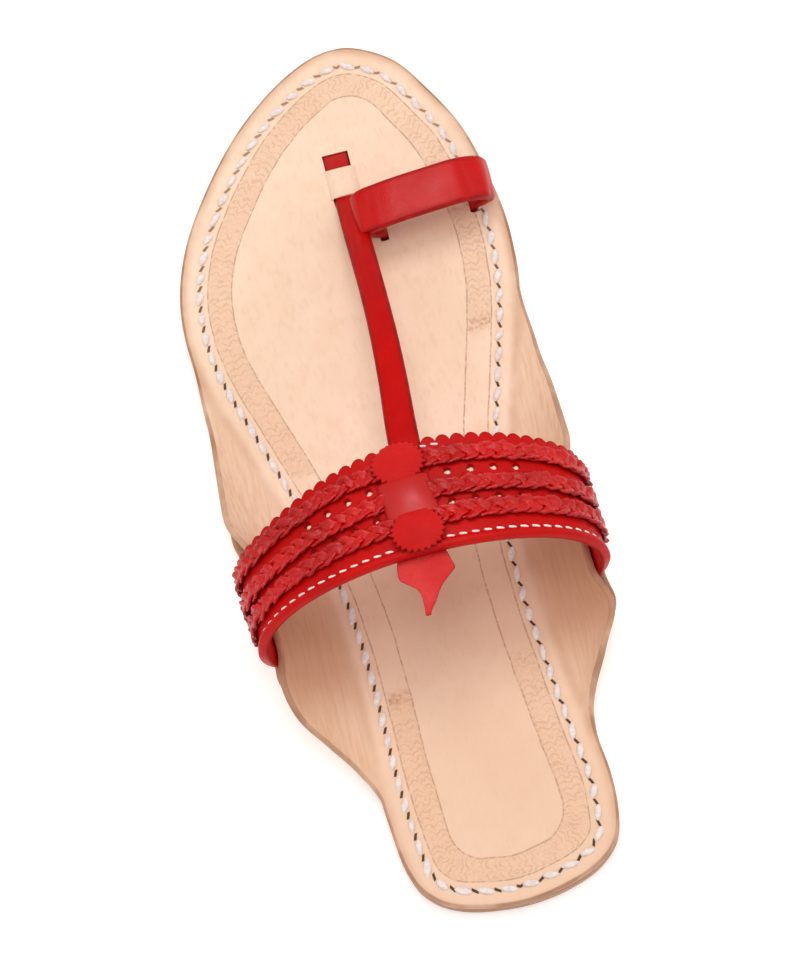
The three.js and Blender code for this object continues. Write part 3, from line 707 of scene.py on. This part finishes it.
def sole_leather():
    """Firm sole leather: layered, burnished edge and a plain scuffed tread."""
    p = Paint("sole_leather", 0.6, Specular_IOR_Level=0.3)
    tone = p.mix(p.noise(40, 4).ramp(0.3, 0.7), SOLE_LIGHT, SOLE_DEEP)
    layers = p.noise(700, 3, p.stretched((0.05, 0.05, 1.0)))
    edge = p.value("wall")
    tone = p.mix(edge * layers.ramp(0.35, 0.65, 0.35, 0.8), tone, SOLE_EDGE)
    scuff = p.noise(60, 6, p.stretched((1.0, 0.4, 1.0))).ramp(0.5, 0.72, 0.0, 0.5)
    tone = p.mix(scuff, tone, SCUFF_TONE)
    fibres = p.noise(1200, 4, p.stretched((1.0, 1.0, 0.4)))
    tone = p.mix(fibres.ramp(0.5, 0.8, 0.0, 0.3), tone, FIBRE_TONE)
    normal = p.bump(layers * edge + fibres * 0.5, 0.00018, 0.6)
    return p.finish(tone, fibres.ramp(0.3, 0.7, 0.5, 0.72), normal)


def red_leather(name, light, deep, edge_tone, roughness, grain_size, grain, shine):
    """Dyed leather: pebbled grain, uneven dye, another tone along its cut edges, which also paints shade
    where the rim value says so.
    """
    p = Paint(name, roughness, Specular_IOR_Level=shine)
    light, deep, edge_tone = rgb(*light), rgb(*deep), rgb(*edge_tone)
    tone = p.mix(p.noise(55, 4).ramp(0.32, 0.7), light, deep)
    cells = p.cells(1000 / grain_size, "SMOOTH_F1")
    fine = p.noise(2200 / grain_size, 3)
    tone = p.mix(cells.ramp(0.35, 0.75, 0.0, 0.42), tone, deep)
    # The edge tone is a dark cut edge, and also painted shade: beside the plaits, along the strands' sides
    # and over the strap's and loop's wide edges
    edge = p.value("rim").ramp(0.5, 0.05) * p.noise(300, 2).ramp(0.3, 0.65, 0.25, 0.75)
    tone = p.mix(edge, tone, edge_tone)
    rough = p.noise(160, 3).ramp(0.3, 0.7, roughness - 0.05, roughness + 0.07)
    return p.finish(tone, rough, p.bump(cells * 0.7 + fine * 0.5, 0.00014, grain))


def pale_leather(name, tone, dull, scale):
    """Undyed leather, bare where it is cut or rolled into stitching, with a fibrous surface."""
    p = Paint(name, 0.62, Specular_IOR_Level=0.3)
    fibres = p.noise(scale, 4)
    colour = p.mix(fibres.ramp(0.35, 0.7, 0.0, 0.7), rgb(*tone), rgb(*dull))
    return p.finish(colour, None, p.bump(fibres, 0.00015, 0.6))


REDS = {  # light, deep and edge tone, roughness, size of the grain in millimetres, its strength, shine
    "red_leather": ((194, 8, 5), (178, 4, 3), (114, 2, 2), 0.45, 0.55, 0.3, 0.12),
    # On the strap, loop and plaits the edge tone is mostly painted shade
    "red_strap": ((188, 6, 3), (170, 3, 2), (96, 2, 2), 0.36, 0.55, 0.3, 0.1),
    "red_loop": ((194, 9, 6), (178, 5, 4), (134, 3, 2), 0.32, 0.55, 0.35, 0.2),
    "red_plait": ((200, 8, 6), (168, 4, 3), (92, 1, 1), 0.26, 0.45, 0.8, 0.34),
    "red_disc": ((204, 22, 19), (184, 13, 11), (92, 4, 4), 0.62, 0.4, 0.9, 0.16),
    "red_roll": ((188, 8, 6), (180, 5, 4), (150, 4, 3), 0.42, 0.7, 0.15, 0.42),
    "red_leaf": ((214, 58, 58), (196, 28, 26), (120, 6, 6), 0.6, 0.5, 1.0, 0.22),
}
TAN, SOLE = tan_leather(), sole_leather()
RED, STRAP_RED, LOOP_RED, PLAIT_RED, DISC_RED, ROLL_RED, LEAF_RED = (
    red_leather(name, *row) for name, row in REDS.items())
CUT = pale_leather("cut_leather", (250, 226, 206), (230, 190, 165), 1500)
THONG = pale_leather("white_thong", (236, 222, 214), (206, 192, 190), 900)
THREAD = pale_leather("white_thread", (248, 240, 234), (220, 200, 190), 2500)


# Sole and insole

RING = np.vstack([even(MEDIAL_EDGE, HALF_RING)[:-1], even(LATERAL_EDGE, HALF_RING)[:-1]])
RING_OUT = outward(RING)
RING_MEDIAL = np.arange(2 * HALF_RING) < HALF_RING
RING_OVER, RING_RISE = ear_size(RING_MEDIAL, RING[:, 1])
RING_EAR = smooth(RING_OVER, 0, 2)
RING_SIDEWAYS = np.stack([np.where(RING_MEDIAL, MEDIAL, LATERAL), np.zeros(len(RING))], axis=1)
RING_WAY = unit(RING_OUT * (1 - RING_EAR)[:, None] + RING_SIDEWAYS * RING_EAR[:, None])
INSOLE_INSETS = (10, 9, 8.3, 7.7, 7.2, 6.8, 6.45, 6.1, 5.8, 5.5, 5.15, 4.8, 4.3, 3.7, 3.05)
RIM_ROUND, LOW_ROUND, EAR_WAVE = 0.9, 0.45, 0.16


def fill(body, ring, start, columns, up, **values):
    """Closes the inside of a ring of vertices with rows from the lateral to the medial side."""
    rows = np.arange(1, HALF_RING)
    f = np.linspace(0, 1, columns + 1)[1:-1]
    lateral, medial = ring[2 * HALF_RING - rows], ring[rows]
    inner = lateral[:, None] + (medial - lateral)[:, None] * f[None, :, None]
    ids = np.concatenate([(start + 2 * HALF_RING - rows)[:, None],
                          body.count + np.arange(inner.shape[0] * inner.shape[1]).reshape(inner.shape[:2]),
                          (start + rows)[:, None]], axis=1)
    quads = np.stack([ids[:-1, :-1], ids[1:, :-1], ids[1:, 1:], ids[:-1, 1:]], axis=-1).reshape(-1, 4)
    toe = [(start, a, b) for a, b in zip(ids[0, :-1], ids[0, 1:])]
    heel = [(start + HALF_RING, b, a) for a, b in zip(ids[-1, :-1], ids[-1, 1:])]
    faces = [face if up else face[::-1] for face in (*quads.tolist(), *toe, *heel)]
    body.add(inner, [[v - body.count for v in face] for face in faces], **values)


def shell(rings, columns_above, columns_below, name, values):
    """A closed body of rings from its top over the edge to its underside, with a named value for each."""
    count = len(RING)
    faces = grid_faces(len(rings), count, wrap=True)[:, ::-1]
    body = Body().add(rings, faces, **{name: np.repeat(values, count)})
    fill(body, rings[-1], body.count - count, columns_below, False, **{name: values[-1]})
    fill(body, rings[0], 0, columns_above, True, **{name: values[0]})
    return body


def flat_ring(inset, depth):
    shifted = inset * (1 - heel_shift(RING[:, 1]) / STITCH_INSET)
    plan = RING - RING_OUT * shifted[:, None]
    return net(plan[:, 0], plan[:, 1], insole_middle(plan[:, 1]) - depth)


def curl_ring(along, depth):
    ones = np.ones(len(RING))
    return curl(RING, RING_WAY, RING_OVER, RING_RISE, along * ones, depth * ones)


def stitch_trough(inset):
    fall = max(0, (EDGE_FALL_WIDTH - inset) / EDGE_FALL_WIDTH)
    return TROUGH_DEPTH * bell(inset, STITCH_INSET, TROUGH_WIDTH) + EDGE_FALL * fall ** 2


def make_insole_mesh():
    full, radius = curl_arc(RING_OVER, RING_RISE)
    length = full * radius
    top = stitch_trough(EAR_INSET) - INSOLE_HALF
    low = INSOLE_HALF - EAR_THINNING * RING_EAR
    rows = [(flat_ring(inset, stitch_trough(inset) - INSOLE_HALF), inset) for inset in INSOLE_INSETS]
    for f in np.linspace(0.08, 1, 13):
        rows.append((curl_ring(f * (1 - RIM_ROUND / length), top), EAR_INSET * (1 - f) + RIM_ROUND))
    for inset, fall in quarter_round(RIM_ROUND, 6)[1:]:
        rows.append((curl_ring(1 - inset / length, top + fall), 0.0))
    for inset, rise in quarter_round(LOW_ROUND, 6)[::-1]:
        rows.append((curl_ring(1 - inset / length, low - rise), 0.0))
    for f in (0.75, 0.5, 0.25, 0.0):
        rows.append((curl_ring(f, INSOLE_HALF - EAR_THINNING * f * RING_EAR), EAR_INSET))
    rings, rims = (np.array(part) for part in zip(*rows))
    curled = rings[len(INSOLE_INSETS):]
    curled[..., 2] += EAR_WAVE * ripple(curled * (1, 0.35, 1), 5.0) * RING_EAR
    return shell(rings, 84, 6, "rim", rims).mesh()


def block(low, high):
    """A plain box, used only as a cutter."""
    points = [(x, y, z) for x in (low[0], high[0]) for y in (low[1], high[1]) for z in (low[2], high[2])]
    faces = [(0, 1, 3, 2), (4, 6, 7, 5), (0, 4, 5, 1), (2, 3, 7, 6), (0, 2, 6, 4), (1, 5, 7, 3)]
    return Body().add(points, faces).mesh()


def strap_grid(grow, spacing):
    first, last = STRAP_LINE[0, 0] + grow, STRAP_LINE[-1, 0]
    y = (first - soft_steps(first - last, 0.9, spacing))[:, None]
    width = column(STRAP_LINE, 3, y) + 2 * grow + STRAP_END_EXTRA * smooth(y, *STRAP_END)
    f = soft_width(0.22, 0.16)
    return net(column(STRAP_LINE, 1, y) + f * width / 2, y, column(STRAP_LINE, 2, y)), f


def loop_grid(grow, extra, columns):
    line = even(through(LOOP_LINE, 40), columns)
    if extra:
        line = np.vstack([line[:1] - (0, extra, 0), line, line[-1:] - (0, extra, 0)])
    x, z, taper = line.T
    front, rear = LOOP_FRONT + grow, LOOP_REAR - grow
    share = soft_steps(front - rear, 0.9, 0.7) / (front - rear)
    y = front + (rear + taper - front) * share[:, None] + LOOP_SKEW * (x - LOOP_MIDDLE_X)
    return net(x, y, z)


def make_keeper_mesh():
    y = KEEPER_FRONT - soft_steps(KEEPER_FRONT - KEEPER_REAR, 0.5, 0.6)
    f = soft_width(0.12, 0.09)
    bow = np.sin(np.linspace(0, math.pi, len(y)))
    half = KEEPER_HALF - KEEPER_NECK * bow
    base = insole_middle(y) + INSOLE_HALF - KEEPER_DROP
    rise = np.linspace(*KEEPER_RISE, len(y)) - KEEPER_SAG * bow
    above = 0.38 + rise[:, None] * (1 - f ** 4) ** 1.5
    mesh = leather(net(KEEPER_X + f * half[:, None], y[:, None], base[:, None]), above, 0.6, 0.5).mesh()
    set_values(mesh, rim=10.0)
    return mesh


def stitch_line():
    return EDGE - outward(EDGE) * (STITCH_INSET - heel_shift(EDGE[:, 1]))[:, None]


def edge_runs():
    """How far along its side each point of the edge lies: 0 at the toe, 1 at the heel."""
    line = stitch_line()
    run = runs_of(np.vstack([line, line[:1]]))
    lateral = 1 - (run[HEEL_AT:-1] - run[HEEL_AT]) / (run[-1] - run[HEEL_AT])
    return np.concatenate([run[:HEEL_AT] / run[HEEL_AT], lateral])


def border_place(points, inset):
    """0 on the outer line of the stamped border and 1 on its inner line, which has round corners.

    The inner line is counted out from an outline drawn well inside the sole's.
    """
    y = points[:, 1]
    core = flat(EDGE - outward(EDGE) * ROUND_INSET)
    clear = nearest(core, flat(EDGE))[1] > ROUND_INSET - 0.1
    rounded = ROUND_INSET - nearest(flat(points), core[clear])[1] + heel_shift(y)
    rounded = np.where(inset < ROUND_INSET, rounded, inset)
    inner = INNER_LINE - INNER_HEEL * smooth(-y, 90, 118) - INNER_TOE * smooth(y, 90, 120)
    border, round_border = ((distance - OUTER_LINE) / (inner - OUTER_LINE) for distance in (inset, rounded))
    return border + (round_border - border) * smooth(border, 0.1, 0.9)


def set_sole_values(mesh):
    """Gives each vertex its place on the sole, for the stitches, stamped border, ears and edge."""
    points = mesh_points(mesh)
    x, y, z = points.T
    closest, distance = nearest(flat(points), flat(EDGE))
    inside = (x > sole_x(LATERAL, y)) & (x < sole_x(MEDIAL, y))
    inset = np.where(inside, distance, -distance) + heel_shift(y)
    medial = x > MIDDLE_X
    front, rear = (np.where(medial, m, l) for m, l in zip(STAMP_ENDS[MEDIAL], STAMP_ENDS[LATERAL]))
    stamp = np.maximum(smooth(y, front - 1, front + 1), smooth(-y, -rear - 2, -rear + 2))
    mark = bell(y, np.where(medial, front + 1.5, rear - 1.5), 1.7)
    ear = smooth(ear_size(medial, y)[0], 0, 6)
    lifted = smooth(z - insole_middle(y) - INSOLE_HALF, 1, 5)
    curled = smooth(-inset, -4.0, 3.0) * ear
    # Painted shade: the tan beside and under the band is darkened where the band shades it, most on the
    # curled ears
    beside_band = smooth(-y, 0, 20) * (1 - smooth(-y, 46, 66))
    set_values(mesh, inset=inset, run=edge_runs()[closest], border=border_place(points, inset), stamp=stamp,
               mark=mark, side=np.where(medial, MEDIAL, LATERAL), curl=np.maximum(curled, lifted * ear),
               worn=beside_band * (0.3 + 0.7 * np.maximum(curled, lifted)))


def make_insole():
    mesh = boolean(make_insole_mesh(), make_keeper_mesh(), "UNION")
    strap, f = strap_grid(GAP, 1.5)
    for grid, half in ((strap, STRAP_HALF + GAP - 0.2 * f ** 2), (loop_grid(0.8, 1.5, 60), LOOP_HALF + 0.15)):
        mesh = boolean(mesh, leather(grid, half, half, 0.3).mesh(), "DIFFERENCE")
    mesh = boolean(mesh, block(WINDOW_LOW, WINDOW_HIGH), "DIFFERENCE")
    set_sole_values(mesh)
    place_piece(mesh, "insole_leather", TAN, "tan_leather", "insole")
    mesh.set_sharp_from_angle(angle=math.radians(50))


def make_outsole():
    wobble = 0.22 * ripple(flat(RING), 9.0)
    top = [(8, 0, 0.0), (0.6, 0, 0.6)]  # inset, distance from the flat, how far it looks like a cut wall
    top += [(*step, 1.0) for step in quarter_round(0.5, 5)] + [(-0.08, fall, 1.0) for fall in (1.4, 2.0, 2.6)]
    tread = [(*step, 1.0) for step in quarter_round(0.8, 6)[::-1]] + [(2.2, 0, 0.15), (8, 0, 0.0)]
    rings = []
    for inset, height, wall in top + tread:
        x, y = (RING - RING_OUT * (inset - wobble * wall)[:, None]).T
        if len(rings) < len(top):
            rings.append(net(x, y, spring(y) + OUTSOLE_THICKNESS - height))
        else:
            rings.append(net(x, y, spring(y) + relief(y) + height))
    walls = [wall for _, _, wall in top + tread]
    shell(np.array(rings), 10, 30, "wall", walls).place("outsole_leather", SOLE, "sole_leather", "outsole")


def make_ear(side, name, node):
    y = EAR_FRONT - soft_steps(EAR_FRONT - EAR_REAR, 0.9, 0.9)
    along = np.concatenate([[-1.0, -0.5], soft_steps(1.0, 0.08, 0.05)])[::side]
    grid_y, grid_along = np.meshgrid(y, along, indexing="ij")
    grid_along = np.where(grid_along > 0, grid_along * EAR_RIM, grid_along)
    depth = underside(grid_along) + ear_space(grid_along, grid_y) + EAR_WALL / 2
    grid = ear_point(side, grid_y, grid_along, depth)
    half = EAR_WALL / 2 * (1 + 0.1 * ripple(grid * (1, 0.3, 1), 5.5, 3.7))
    mesh = leather(grid, half, half, 0.9).mesh()
    set_values(mesh, inset=-4.0, run=0.0, border=-2.0, stamp=0.0, mark=0.0, side=side, curl=1.0, worn=0.0)
    place_piece(mesh, name, TAN, "tan_leather", node)


def lozenge(centre, ahead, half_length, half_width, height, slant):
    """One flat thong stitch: a plump lozenge whose ends dive into the leather."""
    up = np.array((0.0, 0.0, 1.0))
    ahead = ahead * math.cos(slant) + np.cross(up, ahead) * math.sin(slant)
    f = np.sin(np.linspace(-math.pi / 2, math.pi / 2, 13))
    f[0], f[-1] = -0.995, 0.995
    line = centre + ahead * (f * half_length)[:, None] + up * (height * (0.35 - 0.9 * f ** 4))[:, None]
    wide = half_width * (1 - np.abs(f) ** 1.8) ** 0.75 + 0.05
    high = height * (1 - np.abs(f) ** 2.2) ** 0.6 + 0.05
    return tube(line, np.tile(up, (len(line), 1)), (wide, high), 12, 0.85)


def make_edge_stitches():
    """White thong stitches round the sole."""
    rng = np.random.default_rng(7)
    line = stitch_line()
    body = Body()
    fine = 20
    for half in (line[:HEEL_AT + 1], np.vstack([line[HEEL_AT:], line[:1]])):
        points = even(half, STITCHES_PER_SIDE * fine)
        for i in range(fine // 2, len(points), fine):
            x, y = points[i]
            ahead = unit(np.append(points[i + 5] - points[i - 5], 0))
            centre = np.array((x, y, insole_middle(y) + INSOLE_HALF - STITCH_SINK))
            size = STITCH_SIZE * (1 + STITCH_SPREAD * rng.standard_normal(3))
            slant = math.radians(STITCH_SLANT + SLANT_SPREAD * rng.standard_normal())
            body.add(*lozenge(centre, ahead, *size, slant))
    body.place("edge_stitches", THONG)


# Upper

def band_edges_and_shade(place, across, edge):
    """How near each vertex on top of the band is to a cut edge, or how deep it lies in the painted shade
    beside a plait.
    """
    apart = np.min([np.abs(place - plait) for _, plait in PLAITS.values()], axis=0) * BAND_WIDTH
    # Painted shade on the band beside each plait, but not beyond the plaits' ends
    beside = apart - PLAIT_SHADE + UNSHADED * ((across < PLAIT_START) | (across > PLAIT_END))
    return np.minimum(edge + UNSHADED * (place > FOLD_PLACE), np.maximum(beside, 0.1))


def make_band():
    across = np.linspace(0, 1, SCALLOPS * 10 + 1)
    base = (soft_steps(BAND_WIDTH, 0.6, 0.55) / BAND_WIDTH)[:, None]
    tooth = np.abs(np.sin(math.pi * SCALLOPS * across)) ** 0.62
    notch = SCALLOP_DEPTH / BAND_WIDTH * (1 - tooth)
    place = base + notch * (1 - smooth(base, 0.0, 0.085))
    grid = band_point(across, place)
    roll = ROLL_HEIGHT * np.sqrt(np.clip(1 - ((place - ROLL_PLACE) / ROLL_SPAN) ** 2, 0, 1))
    groove = GROOVE_DEPTH * bell(place, THREAD_PLACE, GROOVE_WIDTH)
    above = BAND_HALF - groove + roll + 0.12 * ripple(grid, 14.0, 1.3)
    below = BAND_HALF - 0.5 * (1 - smooth(place, 0.0, 0.5))
    whole = leather(grid, above, below, 0.55, BAND_SHADE)
    rim = whole.values["rim"][0].copy()
    rim[:place.size] = band_edges_and_shade(place, across, rim[:place.size].reshape(place.shape)).ravel()
    whole = whole.mesh()
    whole_points = mesh_points(whole)
    mesh = boolean(whole, hole_pins((-4.0, 4.0), HOLE_HALF + HOLE_TAPER * np.array((-4.0, 4.0)), 20).mesh(),
                   "DIFFERENCE")
    set_values(mesh, rim=rim[nearest(mesh_points(mesh), whole_points)[0]])
    place_piece(mesh, "band_leather", RED, "red_leather", "upper")
    mesh.set_sharp_from_angle(angle=math.radians(55))


def hole_pins(ends, halves, sections, shift=(0.0, 0.0, 0.0)):
    """Round pins in the punched holes, between two heights over the band's middle."""
    body = Body()
    for place, *firsts in HOLE_ROWS:
        for side, first in zip((LATERAL, MEDIAL), firsts):
            for k in range(HOLES):
                across = CENTRE + side * (first + k * HOLE_PITCH) / BAND_LENGTH
                line = band_point(across, place) + shift + np.outer(ends, band_normal(across, place))
                body.add(*tube(line, np.tile((0.0, 1.0, 0.0), (2, 1)), (halves, halves), sections, 1.0))
    return body


def make_hole_lining():
    """The pale lining seen at the bottom of the punched holes."""
    hole_pins((-0.9, 0.75), (0.75, 0.6), 16, LINING_SHIFT).place("hole_lining", CUT)


def make_strap():
    grid, f = strap_grid(0.0, 0.8)
    y = grid[:, :, 1]
    rounded = 1 - smooth(y, 90, 94)
    half = STRAP_HALF + (STRAP_EDGE - STRAP_HALF) * f ** 2 * rounded
    place, half_width, depth = STRAP_CREASE
    crease = depth * bell(f, place, half_width) * smooth(y, 25, 60) * rounded
    above = half + 0.12 * ripple(grid, 11.0, 5.1) + 0.4 * (1 - f ** 2) * rounded - crease
    # Its wide dark edges are painted shade that rounds it
    leather(grid, above, half, 0.6, STRAP_SHADE).place("strap_leather", STRAP_RED, "red_leather", "upper")


def make_loop():
    grid = loop_grid(0.0, 0.0, 150)
    g = np.linspace(-1, 1, grid.shape[0])[:, None]
    along = np.linspace(0, 1, grid.shape[1])
    creases = sum(depth * bell(along - lean * g, place, half_width) * (0.6 + 0.4 * g)
                  for place, half_width, depth, lean in LOOP_CREASES)
    above = LOOP_HALF + 0.14 * ripple(grid * (1, 0.5, 1), 5.0, 8.2) + 0.6 * (1 - g ** 2) - creases
    # Its wide dark edges are painted shade that rounds it
    leather(grid, above, LOOP_HALF, 0.8, LOOP_SHADE).place("loop_leather", LOOP_RED, "red_leather", "upper")


def creased(points, line, seed):
    """A strand folded along its middle and puckered, and how far up each vertex lies out of the painted shade
    on the strand's sides and underside.
    """
    rings = points.reshape(len(line), PLAIT_SECTIONS, 3)
    turn = np.linspace(0, 2 * math.pi, PLAIT_SECTIONS, endpoint=False)
    fold = FOLD_DEPTH * bell(turn, math.pi / 2, FOLD_WIDTH)
    size = 1 - fold * (1 + 0.8 * ripple(line, 2.5, seed))[:, None] + PUCKER * ripple(rings, 1.2, seed)
    # Painted shade: the strand's sides and underside take the dark edge tone
    rim = 0.05 + 0.55 * np.clip(np.sin(turn) * size + 0.25, 0, 2)
    return line[:, None] + (rings - line[:, None]) * size[..., None], rim


def make_plait(name, node, place):
    """Three flat strands plaited: each swings side to side and passes over, then under, the next."""
    turns = round((PLAIT_END - PLAIT_START) * BAND_LENGTH / PLAIT_PITCH)
    f = np.linspace(0, 1, turns * 30 + 1)
    across = PLAIT_START + (PLAIT_END - PLAIT_START) * f
    ends = smooth(f, 0, PLAIT_TAPER) * smooth(1 - f, 0, PLAIT_TAPER)
    full = PLAIT_FLAT + (1 - PLAIT_FLAT) * ends
    body = Body()
    for strand in range(STRANDS):
        track = net(f * BAND_LENGTH, 40 * place, 7.0 * strand)
        phase = 2 * math.pi * (f * turns + strand / STRANDS) + 0.7 * ripple(track, 8.0, 2.2)
        swing = PLAIT_SWING * (1 + 0.3 * ripple(track, 5.0, 4.1))
        along = place + (swing * np.sin(phase) + 0.25 * ripple(track, 14.0, 6.3)) / BAND_WIDTH
        height = PLAIT_BASE - PLAIT_LIFT * np.sin(2 * phase) + 0.2 * ripple(track, 3.5, 1.7)
        line = over_band(across, along, BAND_HALF + (height - BAND_HALF) * full)
        up = band_normal(across, along)
        heelward = unit(np.cross(up, np.gradient(band_point(across, place), axis=0)))
        up = unit(up + heelward * PLAIT_LEAN * np.sin(phase)[:, None])
        wide = PLAIT_WIDE * (1 + 0.3 * ripple(track, 3.2, 9.4))
        high = PLAIT_HIGH * full * (1 + 0.25 * ripple(track, 2.6, 5.2))
        points, faces = tube(line, up, (wide, high), PLAIT_SECTIONS, 0.75)
        points, rim = creased(points, line, 3.3 * strand)
        body.add(points, faces, rim=rim.ravel())
    body.place(name, PLAIT_RED, "red_plait", node)


def make_roll():
    """The wrap over the middle of the plaits."""
    place = (ROLL_MIDDLE + ROLL_REACH * soft_width(0.1, 0.06))[:, None]
    f = soft_width(0.12, 0.06)
    along = np.clip((place - ROLL_MIDDLE) / ROLL_FULL, -1, 1)
    crown = np.clip(1 - f ** 2, 0, 1) * (1 - along ** 2)
    arch = np.clip(1 - np.abs(f) ** 3, 0, 1) ** 0.6
    height = BAND_HALF + 0.2 + (PLAIT_TOP - BAND_HALF) * arch + ROLL_CROWN * crown
    grid = over_band(CENTRE + f * ROLL_HALF / BAND_LENGTH, place, height)
    leather(grid, WRAP_HALF, WRAP_HALF, 0.45).place("roll_leather", ROLL_RED, "red_leather", "centre_roll")


def make_disc(name, node, place, half_across, half_along):
    """A pinked disc that bends down over what it covers."""
    radii = np.concatenate([np.linspace(0.08, 1 - DISC_EDGE, 12),
                            1 - DISC_EDGE * np.cos(np.linspace(0, math.pi / 2, 5)[1:])])
    turn = np.linspace(0, 2 * math.pi, TEETH * TOOTH_STEPS, endpoint=False)
    tooth = np.abs((TEETH * turn / (2 * math.pi)) % 1 - 0.5) * 2
    r, t = np.meshgrid(radii, turn, indexing="ij")
    reach = r * (1 - TOOTH_DEPTH * (1 - tooth) * smooth(r, 0.5, 1.0))
    x, y = reach * np.sin(t), -reach * np.cos(t)
    droop = reach ** 2 * (1.0 + 0.8 * np.cos(t) ** 2)
    height = PLAIT_TOP + DISC_HEIGHT - droop + 0.08 * ripple(net(x, y, 0.0), 0.5)
    edge = np.clip((1 - r) / DISC_EDGE, 0, 1)
    half = DISC_HALF * np.sqrt(np.clip(1 - (1 - edge) ** 2, 0.02, 1))
    across, along = CENTRE + x * half_across / BAND_LENGTH, place + y * half_along / BAND_WIDTH
    top, under = over_band(across, along, height + half), over_band(across, along, height - half)
    rings = np.concatenate([top, under[::-1]])
    rim = np.concatenate([1 - r, (1 - r)[::-1]]).ravel() * half_across
    count = len(turn)
    body = Body().add(rings, grid_faces(len(rings), count, wrap=True)[:, ::-1], rim=rim)
    caps = [((k + 1) % count - body.count, k - body.count, 0) for k in range(count)]
    caps += [(k - count, (k + 1) % count - count, 1) for k in range(count)]
    body.add([top[0].mean(axis=0), under[0].mean(axis=0)], caps, rim=half_across)
    body.place(name, DISC_RED, "red_disc", node)


def make_leaf():
    first, last = LEAF_ROWS[0, 0], LEAF_ROWS[-1, 0]
    along = (first + (last - first) * soft_steps(1.0, 0.02, 0.014))[:, None]
    f = soft_width(0.1, 0.09)
    half, shift = column(LEAF_ROWS, 1, along), column(LEAF_ROWS, 2, along)
    droop = LEAF_DROOP * np.maximum(along - 1, 0) ** 2 + LEAF_CUP * f ** 2 * smooth(along, 1.0, 1.1)
    grid = over_band(CENTRE + (shift + f * half) / BAND_LENGTH, along, -(BAND_HALF + GAP + LEAF_HALF + droop))
    leather(grid, LEAF_HALF, LEAF_HALF, 0.35).place("leaf_leather", LEAF_RED, "red_disc", "leaf_tail")


def make_band_stitches():
    """White machine stitches along the rolled rear edge, with a break at the rear disc, and two in front."""
    count = round((THREAD_END - THREAD_START) * BAND_LENGTH / THREAD_PITCH)
    threads = [(across, THREAD_PLACE) for across in np.linspace(THREAD_START, THREAD_END, count)
               if abs(across - CENTRE) * BAND_LENGTH > THREAD_BREAK]
    threads += [(CENTRE + offset / BAND_LENGTH, FRONT_THREAD_PLACE) for offset in FRONT_THREADS]
    f = np.linspace(-1, 1, 7)
    thin = 1 - 0.5 * f ** 4
    body = Body()
    for middle, place in threads:
        across = middle + THREAD_HALF * f / BAND_LENGTH
        line = over_band(across, place + 0.2 * f / BAND_WIDTH, BAND_HALF - 0.12 - 0.28 * f ** 4)
        body.add(*tube(line, band_normal(across, place), (THREAD_WIDE * thin, THREAD_HIGH * thin), 8, 1.0))
    body.place("band_stitches", THREAD)


make_outsole()
make_insole()
make_ear(LATERAL, "ear_leather_lateral", "ear_lateral")
make_ear(MEDIAL, "ear_leather_medial", "ear_medial")
make_edge_stitches()
make_band()
make_hole_lining()
make_strap()
make_loop()
for plait_name, plait in PLAITS.items():
    make_plait(plait_name, *plait)
make_roll()
for disc_name, disc in DISCS.items():
    make_disc(disc_name, *disc)
make_leaf()
make_band_stitches()


# Stage

FLOOR_HALF, FLOOR_DROP, FLOOR_GLOW = 4.0, 0.0001, 0.3
WORLD_TONE, WORLD_STRENGTH = (1.0, 0.985, 0.965, 1), 0.53
LAMPS = (  # name, place, size, power
    ("key", (0.1, 0.5, 1.15), 0.5, 4.4), ("left", (-0.85, 0.05, 0.9), 1.2, 2.6),
    ("right", (0.85, 0.05, 0.9), 1.2, 3.2), ("top", (0.0, -0.1, 1.3), 0.5, 3.1),
    ("back", (0.1, -1.1, 0.55), 0.6, 1.2),
)
ELEVATION, CAMERA_ROLL = math.radians(72), math.radians(14)
CAMERA_DISTANCE, CAMERA_TARGET = 1.0, (0.0, 0.0, 8.0)
PIXELS_PER_METRE, LONG_SIDE, SENSOR = 3130 * 1.15, 960, 36


def add_to_scene(name, data):
    item = bpy.data.objects.new(name, data)
    bpy.context.scene.collection.objects.link(item)
    return item


def make_floor():
    mesh = bpy.data.meshes.new("floor")
    corners = [(x * FLOOR_HALF, y * FLOOR_HALF, 0) for x, y in ((-1, -1), (1, -1), (1, 1), (-1, 1))]
    mesh.from_pydata(corners, [], [(0, 1, 2, 3)])
    floor = add_to_scene("floor", mesh)
    floor.location.z = -FLOOR_DROP
    paint = Paint("pale_floor", 0.9, Specular_IOR_Level=0.1, Emission_Color=(1, 1, 1, 1),
                  Emission_Strength=FLOOR_GLOW)
    tone = paint.mix(paint.noise(3, 2), (0.86, 0.86, 0.86), (0.9, 0.9, 0.9))
    mesh.materials.append(paint.finish(tone))


def make_lights():
    world = bpy.data.worlds.new("studio")
    bpy.context.scene.world = world
    world.use_nodes = True
    sky = world.node_tree.nodes["Background"].inputs
    sky["Color"].default_value, sky["Strength"].default_value = WORLD_TONE, WORLD_STRENGTH
    for name, place, size, power in LAMPS:
        lamp = bpy.data.lights.new(name, "AREA")
        lamp.size, lamp.energy = size, power
        item = add_to_scene(name, lamp)
        item.location = place
        item.rotation_euler = (-Vector(place)).to_track_quat("-Z", "Y").to_euler()


def make_camera():
    """The photo's view: steeply from above and behind the heel, with the toe turned to the left."""
    data = bpy.data.cameras.new("camera")
    data.sensor_width = SENSOR
    data.lens = PIXELS_PER_METRE * CAMERA_DISTANCE * SENSOR / LONG_SIDE
    camera = add_to_scene("camera", data)
    tilt = Matrix.Rotation(math.pi / 2 - ELEVATION, 4, "X") @ Matrix.Rotation(-CAMERA_ROLL, 4, "Z")
    target, back = Matrix.Translation(to_frame(CAMERA_TARGET)), Matrix.Translation((0, 0, CAMERA_DISTANCE))
    camera.matrix_world = target @ tilt @ back
    bpy.context.scene.camera = camera


make_floor()
make_lights()
make_camera()
bpy.context.scene.view_settings.view_transform = "Standard"
